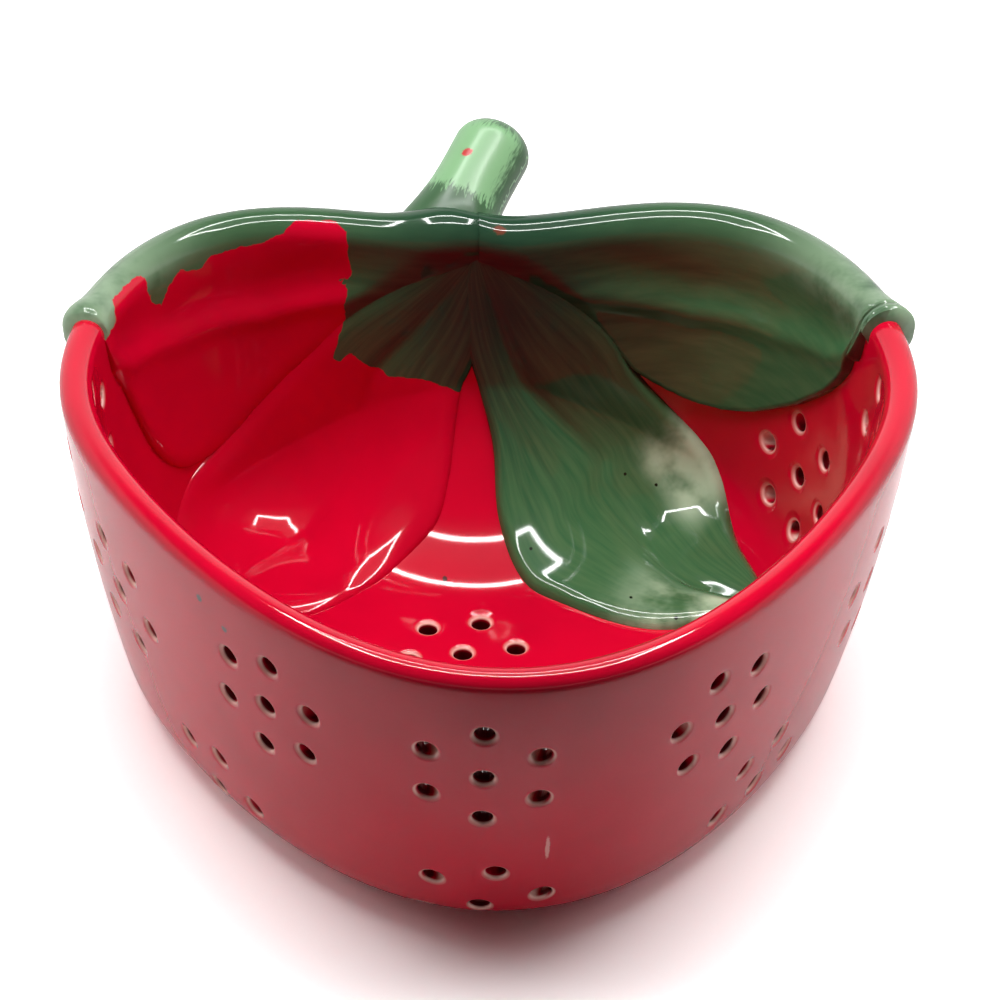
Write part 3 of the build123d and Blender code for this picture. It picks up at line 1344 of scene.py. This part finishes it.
@dataclass(frozen=True)
class GreenGlaze:
    """Brushed green glaze, with painted shade round the hub where the leaves meet,
    and painted sheen on the leaves' tips, flanks and ears.

    The hub and its reach are in metres, and the lighter patch of the stem in shares along it and round it.
    """

    body: Colour = (0.036, 0.112, 0.044, 1.0)
    light: Colour = (0.066, 0.142, 0.058, 1.0)
    rim: Colour = (0.046, 0.104, 0.048, 1.0)
    # Near-black green painted round the hub as shade.
    dark: Colour = (0.003, 0.026, 0.017, 1.0)
    # Light green painted on the leaves as sheen.
    pale: Colour = (0.42, 0.55, 0.37, 1.0)
    stem_patch: Colour = (0.21, 0.4, 0.2, 1.0)
    streak_scale: float = 5.0
    streak_span: Span = (0.2, 0.8)
    streaks: Span = (1.6, 3.5)
    # Centre and reach of the painted shade round the hub.
    hub: tuple[float, float, float] = (0.004, 0.062, 0.060)
    hub_reach: Span = (0.012, 0.066)
    hub_wobble: float = 0.03
    wobble_scale: float = 3.0
    cloud_scale: float = 70.0
    cloud_span: Span = (0.3, 0.6)
    border_scale: float = 260.0
    border_wobble: float = 2.0
    border_blur: float = 0.12
    stem_streaks: float = 6.0
    stem_rim: float = 0.6
    fringe_scale: float = 16.0
    fringe: float = 0.25
    patch_starts: Span = (0.4, 0.46)
    patch_ends: Span = (0.84, 0.95)
    patch_left: Span = (0.05, 0.11)
    patch_right: Span = (0.55, 0.62)
    roughness: float = 0.08
    stem_roughness: float = 0.3

    def group(self) -> bpy.types.NodeTree:
        """Makes the node group that gives the glaze's colour.

        Returns:
            The group.
        """
        inputs = {"Stroke": Socket.VECTOR, "Pool": Socket.VALUE, "Rim": Socket.VALUE, "Pale": Socket.VALUE}
        tree, nodes = colour_group("green_glaze", inputs)
        into = nodes.add("NodeGroupInput").outputs
        streak = nodes.noise(into["Stroke"], self.streak_scale, 3.0, 0.5)
        body = nodes.mix(nodes.ramp(streak, *self.streak_span), self.body, self.light)
        # Mixes in the rim tone, the painted sheen and the painted shade round the hub.
        for key, colour in (("Rim", self.rim), ("Pale", self.pale), ("Pool", self.dark)):
            body = nodes.mix(into[key], body, colour)
        nodes.add("NodeGroupOutput", {"Colour": body})
        return tree


@dataclass(frozen=True)
class Speck:
    """Small fault in the glaze: its place and half sizes in millimetres, and its colour."""

    place: tuple[float, float, float]
    size: tuple[float, float, float]
    colour: Colour
    rag_scale: float = 1500.0
    rag: float = 0.7
    edge: Span = (0.95, 1.35)

    def mask(self, nodes: Nodes, place: bpy.types.NodeSocket) -> bpy.types.NodeSocket:
        """Adds the nodes that find the speck.

        Args:
            nodes: the material's nodes.
            place: object coordinates, in metres.

        Returns:
            1 in the speck and 0 outside it.
        """
        centre = tuple(value * MM for value in self.place)
        size = tuple(value * MM for value in self.size)
        reach = nodes.length(nodes.vector("DIVIDE", nodes.vector("SUBTRACT", place, centre), size))
        rag = nodes.maths("MULTIPLY", nodes.noise(place, self.rag_scale, 2.0), self.rag)
        return nodes.outside(nodes.ramp(nodes.maths("ADD", reach, rag), *self.edge))


@dataclass
class Glazes:
    """Materials of the bowl."""

    red: RedGlaze = RedGlaze()
    green: GreenGlaze = GreenGlaze()
    clay: Colour = (0.62, 0.47, 0.38, 1.0)
    clay_light: Colour = (0.7, 0.56, 0.47, 1.0)
    clay_roughness: float = 0.75
    clay_wave: float = 0.2
    clay_scale: float = 300.0
    wave_scale: float = 90.0
    wave_height: float = 0.001
    specular: float = 0.32
    shell_specks: tuple[Speck, ...] = (
        Speck((-55.85, -53.31, 70.15), (1.0, 1.0, 1.0), (0.12, 0.06, 0.07, 1.0)),
        Speck((-51.35, -58.33, 66.74), (0.9, 0.9, 0.9), (0.14, 0.07, 0.08, 1.0)),
        Speck((7.2, -78.06, 30.5), (0.5, 3.5, 4.6), (0.75, 0.3, 0.28, 1.0)),
        Speck((-7.3, 33.12, 11.65), (0.6, 0.9, 0.9), (0.06, 0.01, 0.01, 1.0)),
    )
    stem_specks: tuple[Speck, ...] = (
        Speck((-1.9, 76.26, 88.23), (1.4, 1.2, 1.2), (0.45, 0.02, 0.02, 1.0)),
    )
    leaf_specks: tuple[Speck, ...] = (
        Speck((4.26, 60.25, 79.17), (1.5, 1.2, 1.2), (0.16, 0.045, 0.025, 1.0)),
        Speck((10.66, 37.74, 15.68), (0.45, 0.5, 0.5), (0.01, 0.012, 0.008, 1.0)),
        Speck((30.65, 25.17, 11.87), (0.5, 0.6, 0.5), (0.01, 0.012, 0.008, 1.0)),
        Speck((31.5, 58.21, 20.21), (0.45, 0.5, 0.5), (0.01, 0.012, 0.008, 1.0)),
        Speck((38.16, 58.25, 17.27), (0.45, 0.5, 0.5), (0.01, 0.012, 0.008, 1.0)),
        Speck((39.41, 18.63, 11.41), (0.5, 0.6, 0.5), (0.01, 0.012, 0.008, 1.0)),
    )

    def __post_init__(self) -> None:
        """Makes the shared groups."""
        self.red_group = self.red.group()
        self.green_group = self.green.group()

    def start(self, name: str) -> tuple[bpy.types.Material, Nodes]:
        """Makes an empty material.

        Args:
            name: its name.

        Returns:
            The material and its nodes.
        """
        material = bpy.data.materials.new(name)
        material.use_nodes = True
        return material, Nodes(material.node_tree)

    def finish(self, nodes: Nodes, colour: object, roughness: float, wave: float = 0.02) -> None:
        """Adds the glossy surface to a material.

        Args:
            nodes: the material's nodes.
            colour: colour or socket.
            roughness: roughness of the glaze.
            wave: strength of the glaze's slow waves.
        """
        height = nodes.noise(nodes.place(), self.wave_scale, 2.0)
        inputs = {"Height": height, "Strength": wave, "Distance": self.wave_height}
        bump = nodes.add("ShaderNodeBump", inputs)
        surface = nodes.add("ShaderNodeBsdfPrincipled", {
            "Base Color": colour,
            "Roughness": roughness,
            "Specular IOR Level": self.specular,
            "Normal": bump.outputs[0],
        })
        nodes.add("ShaderNodeOutputMaterial", {"Surface": surface.outputs[0]})

    @staticmethod
    def specked(
        nodes: Nodes, colour: bpy.types.NodeSocket, specks: Sequence[Speck]
    ) -> bpy.types.NodeSocket:
        """Adds specks to a colour.

        Args:
            nodes: the material's nodes.
            colour: the colour without them.
            specks: the specks.

        Returns:
            The colour with them.
        """
        place = nodes.place()
        for speck in specks:
            colour = nodes.mix(speck.mask(nodes, place), colour, speck.colour)
        return colour

    def shell(self) -> bpy.types.Material:
        """Red glaze of the shell.

        Returns:
            The material.
        """
        material, nodes = self.start("shell_glaze")
        inputs = {"Thin": nodes.attribute("thin"), "Pooled": nodes.attribute("pooled")}
        red = nodes.add("ShaderNodeGroup", inputs, node_tree=self.red_group)
        colour = self.specked(nodes, red.outputs["Colour"], self.shell_specks)
        self.finish(nodes, colour, self.red.roughness)
        return material

    def leaf(self, name: str, painted_red: bool) -> bpy.types.Material:
        """Green glaze of a leaf, with red below its border where it has one.

        Args:
            name: name of the material.
            painted_red: True if part of the leaf is red.

        Returns:
            The material.
        """
        look = self.green
        material, nodes = self.start(name)
        place = nodes.place()
        along = nodes.maths("MULTIPLY", nodes.attribute("along"), look.streaks[0])
        across = nodes.maths("MULTIPLY", nodes.attribute("across"), look.streaks[1])
        stroke = nodes.add("ShaderNodeCombineXYZ", {0: along, 1: across}).outputs[0]
        from_hub = nodes.length(nodes.vector("SUBTRACT", place, look.hub))
        wobble = nodes.maths("MULTIPLY", nodes.noise(stroke, look.wobble_scale), look.hub_wobble)
        # Painted shade round the hub, where the leaves meet.
        pool = nodes.outside(nodes.ramp(nodes.maths("ADD", from_hub, wobble), *look.hub_reach))
        # Noise that breaks up the painted sheen.
        cloud = nodes.ramp(nodes.noise(place, look.cloud_scale, 4.0), *look.cloud_span)
        green = nodes.add("ShaderNodeGroup", node_tree=self.green_group)
        links = {
            "Stroke": stroke,
            "Pool": pool,
            "Rim": nodes.attribute("rim"),
            "Pale": nodes.maths("MULTIPLY", nodes.attribute("pale"), cloud),
        }
        for key, socket in links.items():
            nodes.tree.links.new(socket, green.inputs[key])
        colour = green.outputs["Colour"]
        if painted_red:
            red = nodes.add("ShaderNodeGroup", {"Thin": 0.0, "Pooled": 0.0}, node_tree=self.red_group)
            ragged = nodes.maths("SUBTRACT", nodes.noise(place, look.border_scale), 0.5)
            rag = nodes.maths("MULTIPLY", ragged, look.border_wobble)
            to_border = nodes.maths("ADD", nodes.attribute("paint"), rag)
            border = nodes.ramp(to_border, -look.border_blur, look.border_blur)
            colour = nodes.mix(border, red.outputs["Colour"], colour)
        self.finish(nodes, self.specked(nodes, colour, self.leaf_specks), look.roughness)
        return material

    def stem(self) -> bpy.types.Material:
        """Green glaze of the stem with a lighter patch over part of it.

        Returns:
            The material.
        """
        look = self.green
        material, nodes = self.start("stem_glaze")
        along, around = nodes.attribute("along"), nodes.attribute("around")
        turned = nodes.maths("MULTIPLY", around, look.stem_streaks)
        stroke = nodes.add("ShaderNodeCombineXYZ", {0: along, 1: turned}).outputs[0]
        inputs = {"Stroke": stroke, "Pool": 0.0, "Rim": look.stem_rim, "Pale": 0.0}
        green = nodes.add("ShaderNodeGroup", inputs, node_tree=self.green_group)
        ragged = nodes.maths("SUBTRACT", nodes.noise(stroke, look.fringe_scale, 2.0), 0.5)
        fringe = nodes.maths("MULTIPLY", ragged, look.fringe)
        at = nodes.maths("ADD", along, fringe)
        beside = nodes.maths("ADD", around, nodes.maths("MULTIPLY", fringe, 0.5))
        start, end = nodes.ramp(at, *look.patch_starts), nodes.ramp(at, *look.patch_ends)
        patch = nodes.maths("SUBTRACT", start, end, True)
        patch = nodes.maths("MULTIPLY", patch, nodes.ramp(beside, *look.patch_left))
        patch = nodes.maths("MULTIPLY", patch, nodes.outside(nodes.ramp(beside, *look.patch_right)))
        colour = nodes.mix(patch, green.outputs["Colour"], look.stem_patch)
        self.finish(nodes, self.specked(nodes, colour, self.stem_specks), look.stem_roughness)
        return material

    def bare(self) -> bpy.types.Material:
        """Unglazed clay.

        Returns:
            The material.
        """
        material, nodes = self.start("bare_clay")
        grain = nodes.noise(nodes.place(), self.clay_scale)
        colour = nodes.mix(grain, self.clay, self.clay_light)
        self.finish(nodes, colour, self.clay_roughness, self.clay_wave)
        return material


@dataclass(frozen=True)
class Camera:
    """Camera that stands where the photo was taken, in millimetres and degrees before the shift."""

    target: tuple[float, float, float] = (2.583, 4.871, 45.018)
    distance: float = 861.48
    elevation: float = 34.554
    azimuth: float = -3.372
    roll: float = 1.144
    lens: float = 156.18
    sensor: float = 36.0

    def place(self, shift: float) -> bpy.types.Object:
        """Adds the camera.

        Args:
            shift: shift of the row frame along Y, in millimetres.

        Returns:
            The camera.
        """
        a, e = math.radians(self.azimuth), math.radians(self.elevation)
        back = Vector((math.sin(a) * math.cos(e), -math.cos(a) * math.cos(e), math.sin(e)))
        target = Vector((self.target[0], self.target[1] + shift, self.target[2]))
        Clay.deselect()
        bpy.ops.object.camera_add(location=(target + back * self.distance) * MM)
        camera = bpy.context.object
        roll = Matrix.Rotation(math.radians(self.roll), 3, "Z")
        turn = (-back).to_track_quat("-Z", "Y").to_matrix() @ roll
        camera.rotation_euler = turn.to_euler()
        camera.data.lens = self.lens
        camera.data.sensor_width = self.sensor
        camera.data.clip_start, camera.data.clip_end = 0.01, 50.0
        bpy.context.scene.camera = camera
        return camera


@dataclass(frozen=True)
class Studio:
    """White floor, a frame of strip lamps overhead, soft lamps and a pale surround, in metres and watts.

    The floor turns white between near and far. Mirror images see it darker in front of the bowl, where the
    room was dark.
    """

    frame_centre: tuple[float, float, float] = (0.0, 0.095, 0.50)
    frame_size: tuple[float, float] = (0.36, 0.25)
    strip: float = 0.022
    power: float = 1.5
    ceiling_place: tuple[float, float, float] = (0.0, -0.01, 0.53)
    ceiling_size: tuple[float, float] = (0.7, 0.22)
    ceiling_power: float = 4.3
    glow_power: float = 0.2
    panel_place: tuple[float, float, float] = (0.48, 0.16, 0.26)
    panel_size: tuple[float, float] = (0.4, 0.3)
    panel_power: float = 1.0
    floor_size: float = 12.0
    surround: float = 0.04
    high: float = 0.06
    near: float = 0.17
    far: float = 0.5
    front_near: float = 0.5
    front_far: float = 1.2
    cloth: Colour = (0.93, 0.93, 0.93, 1.0)
    front_cloth: Colour = (0.14, 0.14, 0.14, 1.0)
    front_fade: Span = (-0.3, -0.05)
    cloth_fade: Span = (-0.22, -0.1)
    sky_fade: Span = (0.15, 0.4)
    sky_tip: float = 0.5
    bleach: float = 1.75

    def build(self) -> None:
        """Adds the floor, the lamps and the world."""
        self.floor()
        self.lamps()
        self.world()

    def floor(self) -> None:
        """Adds the floor."""
        Clay.deselect()
        bpy.ops.mesh.primitive_plane_add(size=self.floor_size, location=(0, 0, 0))
        floor = bpy.context.object
        floor.name = "floor"
        material = bpy.data.materials.new("floor")
        material.use_nodes = True
        nodes = Nodes(material.node_tree)
        place = nodes.place()
        reach = nodes.length(place)
        front = nodes.add("ShaderNodeSeparateXYZ", {0: place}).outputs["Y"]
        camera = nodes.add("ShaderNodeLightPath").outputs["Is Camera Ray"]
        open_floor = nodes.maths("MAXIMUM", nodes.ramp(front, *self.front_fade), camera)
        start = nodes.between(open_floor, self.front_near, self.near)
        end = nodes.between(open_floor, self.front_far, self.far)
        white = nodes.maths("MULTIPLY", nodes.ramp(reach, start, end), self.seen(nodes))
        pale = nodes.maths("MAXIMUM", nodes.ramp(front, *self.cloth_fade), camera)
        colour = nodes.mix(pale, self.front_cloth, self.cloth)
        # The camera sees the floor whiter than it is, so that less light is needed on the bowl.
        colour = nodes.vector("MULTIPLY", colour, nodes.between(camera, 1.0, self.bleach))
        cloth = nodes.add("ShaderNodeBsdfDiffuse", {"Color": colour})
        glow = nodes.add("ShaderNodeEmission", {"Color": (1, 1, 1, 1), "Strength": 1.0})
        surface = nodes.add("ShaderNodeMixShader", {0: white, 1: cloth.outputs[0], 2: glow.outputs[0]})
        nodes.add("ShaderNodeOutputMaterial", {"Surface": surface.outputs[0]})
        floor.data.materials.append(material)

    @staticmethod
    def seen(nodes: Nodes) -> bpy.types.NodeSocket:
        """Finds rays that show a surface, directly or as a mirror image.

        Args:
            nodes: the tree to add to.

        Returns:
            1 for camera, glossy and transmission rays.
        """
        path = nodes.add("ShaderNodeLightPath").outputs
        seen = nodes.maths("MAXIMUM", path["Is Camera Ray"], path["Is Glossy Ray"])
        return nodes.maths("MAXIMUM", seen, path["Is Transmission Ray"])

    def lamps(self) -> None:
        """Adds the lamps: some show only as reflections, others only give soft light."""
        cx, cy, cz = self.frame_centre
        w, d = self.frame_size
        strips = [(cx, cy + d / 2, w, self.strip), (cx, cy - d / 2, w, self.strip)]
        strips += [(cx + w / 2, cy, self.strip, d), (cx - w / 2, cy, self.strip, d)]
        for i, (x, y, size_x, size_y) in enumerate(strips):
            power = self.power * max(size_x, size_y) / w
            strip = self.lamp(f"strip_{i}", (x, y, cz), (size_x, size_y), power)
            strip.visible_diffuse = False
        ceiling = self.lamp("ceiling", self.ceiling_place, self.ceiling_size, self.ceiling_power)
        ceiling.visible_glossy = False
        glow = self.lamp("glow", (cx, cy, cz + self.strip), (w, d), self.glow_power)
        glow.visible_diffuse = False
        for side in Side:
            x, y, z = self.panel_place
            name, place = "panel_" + side.name.lower(), (x * side.value, y, z)
            turn = side.value * math.pi / 2
            panel = self.lamp(name, place, self.panel_size[::-1], self.panel_power, turn)
            panel.visible_glossy = False

    @staticmethod
    def lamp(
        name: str, place: Sequence[float], size: Sequence[float], power: float, turn: float = 0.0
    ) -> bpy.types.Object:
        """Adds one area lamp.

        Args:
            name: its name.
            place: where it hangs, in metres.
            size: its two sides, in metres.
            power: its power in watts.
            turn: turn about Y from facing down, in radians.

        Returns:
            The lamp.
        """
        Clay.deselect()
        bpy.ops.object.light_add(type="AREA", location=place, rotation=(0, turn, 0))
        lamp = bpy.context.object
        lamp.name = name
        lamp.data.shape = "RECTANGLE"
        lamp.data.size, lamp.data.size_y = size
        lamp.data.energy = power
        lamp.visible_camera = False
        return lamp

    def world(self) -> None:
        """Adds the pale surround."""
        world = bpy.data.worlds.new("surround")
        world.use_nodes = True
        nodes = Nodes(world.node_tree)
        direction = nodes.add("ShaderNodeTexCoord").outputs["Generated"]
        split = nodes.add("ShaderNodeSeparateXYZ", {0: direction}).outputs
        tipped = nodes.maths("MULTIPLY", split["Y"], self.sky_tip)
        height = nodes.maths("SUBTRACT", split["Z"], tipped)
        # The camera always sees white, and mirror images see a sky that darkens upwards and to the front.
        camera = nodes.add("ShaderNodeLightPath").outputs["Is Camera Ray"]
        height = nodes.between(camera, height, 0.0)
        shown = nodes.between(nodes.ramp(height, *self.sky_fade), 1.0, self.high)
        strength = nodes.between(self.seen(nodes), self.surround, shown)
        surround = nodes.add("ShaderNodeBackground", {"Color": (1, 1, 1, 1), "Strength": strength})
        nodes.add("ShaderNodeOutputWorld", {"Surface": surround.outputs[0]})
        bpy.context.scene.world = world


@dataclass
class BerryBowl:
    """The whole bowl.

    The lines of the leaves and the border of the red are drawn as the camera sees them, in millimetres
    across and up from the dip of the back rim. Those of the leaves are drawn on the right and mirrored.
    """

    form: BerryForm
    lower_inner: dict[Side, Drawn] = field(default_factory=lambda: {
        Side.RIGHT: (
            (-1, -6), (-3, -14), (-2, -26), (0.6, -35), (3.3, -46.5), (4.2, -61.3), (8.4, -73.7),
            (16.2, -78.9), (35, -84.5), (61, -82),
        ),
        Side.LEFT: (
            (-1, -6), (-2, -14), (-1, -24), (1.5, -31), (3.3, -35.1), (4.9, -46.4), (5.8, -52.7),
            (8.6, -62.2), (16.4, -70.4), (23.4, -75.5), (37.3, -81.1), (61, -82),
        ),
    })
    lower_rib: dict[Side, Drawn] = field(default_factory=lambda: {
        Side.RIGHT: (
            (-1, -6), (8.9, -32), (24.2, -48), (26.9, -57), (39.7, -73), (49.3, -78), (61, -82),
        ),
        Side.LEFT: (
            (-1, -6), (12.3, -21.6), (21.5, -31.5), (24.5, -44.2), (29.5, -56.6), (37.1, -66), (47, -71),
            (61, -82),
        ),
    })
    lower_outer: dict[Side, Drawn] = field(default_factory=lambda: {
        Side.RIGHT: (
            (-1, -6), (14, -13), (27, -21), (34.3, -31.5), (47.5, -45.2), (52, -53.6), (54.4, -66.2),
            (57.4, -73.4), (61, -82),
        ),
        Side.LEFT: (
            (-1, -6), (14, -12), (27, -18), (36, -26), (46, -36), (54, -45), (60, -53), (63, -63),
            (62, -73), (61, -82),
        ),
    })
    upper_edge: dict[Side, Drawn] = field(default_factory=lambda: {
        Side.RIGHT: (
            (0.0, -11), (14, -18), (25.6, -25), (34.4, -31.5), (47.4, -37.6), (59, -39.8), (70.4, -36.8),
            (75.7, -28.5), (78.0, -22.5),
        ),
        Side.LEFT: (
            (0.0, -11), (14, -16), (25.7, -21.7), (32.2, -26.3), (42.8, -34.5), (52.5, -44.7), (61, -50),
            (67, -46), (72, -35), (76, -27), (78.0, -22.5),
        ),
    })
    upper_rib: Drawn = ((0, 14), (20, 18), (40, 23), (60, 22), (75, 17), (85, 8))
    tip_turn: dict[Side, float] = field(default_factory=lambda: {Side.RIGHT: 83.5, Side.LEFT: 81.0})
    upper_section: dict[Side, LeafSection] = field(default_factory=lambda: {
        Side.RIGHT: LeafSection(thickness=2.2, edge=1.7),
        Side.LEFT: LeafSection(thickness=1.6, edge=6.0),
    })
    lower_section: dict[Side, LeafSection] = field(default_factory=lambda: {
        Side.RIGHT: LeafSection(),
        Side.LEFT: LeafSection(thickness=1.7, edge=4.5, rib_depth=0.3, valley=0.9, swell=0.6),
    })
    red_border: Drawn = (
        (-75.0, -25.8), (-73.0, -20.8), (-73.4, -16.8), (-71.5, -13.9), (-67.6, -11.0), (-66.3, -16.7),
        (-64.2, -17.6), (-63.1, -13.3), (-60.8, -10.5), (-56.3, -10.0), (-54.7, -7.3), (-49.1, -5.4),
        (-43.7, -4.7), (-39.9, -2.5), (-37.4, -0.1), (-34.3, 0.1), (-28.9, -0.4), (-26.6, -2.4),
        (-26.5, -4.8), (-26.1, -11.8), (-28.8, -11.9), (-27.1, -13.7), (-27.3, -20.3), (-29.6, -26.5),
        (-28.1, -27.1), (-25.6, -25.4), (-22.4, -28.7), (-17.2, -31.1), (-11.1, -31.6), (-7.2, -32.8),
        (-2.8, -35.1), (-1.1, -33.1), (0.6, -36.4), (10, -100), (-95, -100), (-95, -60), (-80, -30),
    )
    edge_points: int = 60
    edge_turns: tuple[float, float, int] = (0.0, 88.0, 353)
    edge_runs: tuple[float, float, int] = (4.0, 70.0, 265)
    edge_end: Span = (90.0, 4.0)
    inside_columns: int = 721
    inside_rows: int = 120

    def build(self) -> None:
        """Models and dresses every piece."""
        glazes = Glazes()
        self.settle(BowlShell(self.form).build(), "bowl_shell", "red_glaze", glazes.shell())
        tree = self.inside()
        leaves = (
            (Side.RIGHT, glazes.leaf("leaf_glaze", False), self.all_green, "green_glaze"),
            (Side.LEFT, glazes.leaf("bordered_leaf_glaze", True), self.by_border, "red_glaze"),
        )
        for side, glaze, paint, lower_slot in leaves:
            word = side.name.lower()
            shape = {"section": self.upper_section[side], "tip_turn": self.tip_turn[side]}
            upper = UpperLeaf(self.form, side, self.low_edge(side), self.upper_rib, **shape).build(paint)
            self.settle(upper, "leaf_upper_" + word, "green_glaze", glaze)
            drawn = (self.lower_inner[side], self.lower_rib[side], self.lower_outer[side])
            lines = [[(x * side.value, y) for x, y in line] for line in drawn]
            lower = LowerLeaf(self.form, side, *lines, self.lower_section[side]).build(tree, paint)
            self.settle(lower, "leaf_lower_" + word, lower_slot, glaze)
        self.settle(Stem(self.form).build(), "stem", "green_glaze", glazes.stem())
        self.settle(FootRing(self.form).build(), "foot_ring", "bare_clay", glazes.bare())

    @staticmethod
    def all_green(flat: Array) -> Array:
        """Border of a leaf that is green all over.

        Args:
            flat: drawn places.

        Returns:
            A positive number for each.
        """
        return np.full(len(flat), 10.0)

    def by_border(self, flat: Array) -> Array:
        """Signed distance to the border of the red.

        Args:
            flat: drawn places.

        Returns:
            Millimetres, negative in the red.
        """
        return signed_distance(flat, self.red_border)

    def low_edge(self, side: Side) -> Drawn:
        """Lower edge of an upper leaf as run over the skin for each angle.

        Args:
            side: side of the leaf.

        Returns:
            Angles in degrees with runs.
        """
        drawn = through(self.upper_edge[side], self.edge_points)
        turns = np.radians(np.linspace(*self.edge_turns))
        turn, run = np.meshgrid(turns, np.linspace(*self.edge_runs))
        seen = self.form.drawn(self.form.skin(turn, run))
        edge = []
        for place in drawn:
            i = np.argmin(((seen - place) ** 2).sum(axis=-1))
            edge.append((math.degrees(turn.ravel()[i]), run.ravel()[i]))
        edge.append(self.edge_end)
        return tuple(sorted(edge))

    def inside(self) -> BVHTree:
        """Fine inside of the uncut bowl for laying leaves on it.

        Returns:
            The tree, in millimetres.
        """
        form = self.form
        turns = np.linspace(0, 2 * math.pi, self.inside_columns)
        down = np.linspace(0, 1, self.inside_rows)[:, None]
        skin = form.skin(turns, down * form.inner_run(turns))
        middle = np.tile([*form.middle, form.floor_level], (1, len(turns), 1))
        places = np.concatenate([skin, middle])
        rows, columns = places.shape[:2]
        index = np.arange(rows * columns).reshape(rows, columns)
        corners_of = (index[:-1, :-1], index[:-1, 1:], index[1:, 1:], index[1:, :-1])
        quads = np.stack(corners_of, axis=-1).reshape(-1, 4)
        return BVHTree.FromPolygons(places.reshape(-1, 3).tolist(), quads.tolist())

    @staticmethod
    def settle(obj: bpy.types.Object, node: str, slot: str, material: bpy.types.Material) -> None:
        """Dresses a piece, hangs it under the root and hides the CAD node it stands for.

        Args:
            obj: the piece.
            node: the CAD node it stands for.
            slot: not used.
            material: its material.
        """
        obj.data.materials.clear()
        obj.data.materials.append(material)
        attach(obj, "root")
        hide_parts(node)
        log.info("%s with %d vertices stands for %s", obj.name, len(obj.data.vertices), node)


def corners(box: tuple[Vector, Vector]) -> list[list[float]]:
    """Corners of a box as plain lists.

    Args:
        box: its lowest and highest corner.

    Returns:
        Two lists.
    """
    return [list(corner) for corner in box]


def main() -> None:
    """Builds the bowl, its studio and its camera."""
    logging.basicConfig(level=logging.INFO)
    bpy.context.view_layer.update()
    bpy.context.scene.view_settings.view_transform = "Standard"
    unshifted = BerryForm(shift=0.0)
    form = BerryForm(shift=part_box("bowl_shell")[0][1] / MM - unshifted.nose_y)
    BerryBowl(form).build()
    Studio().build()
    Camera().place(form.shift)


if __name__ == "__main__":
    main()
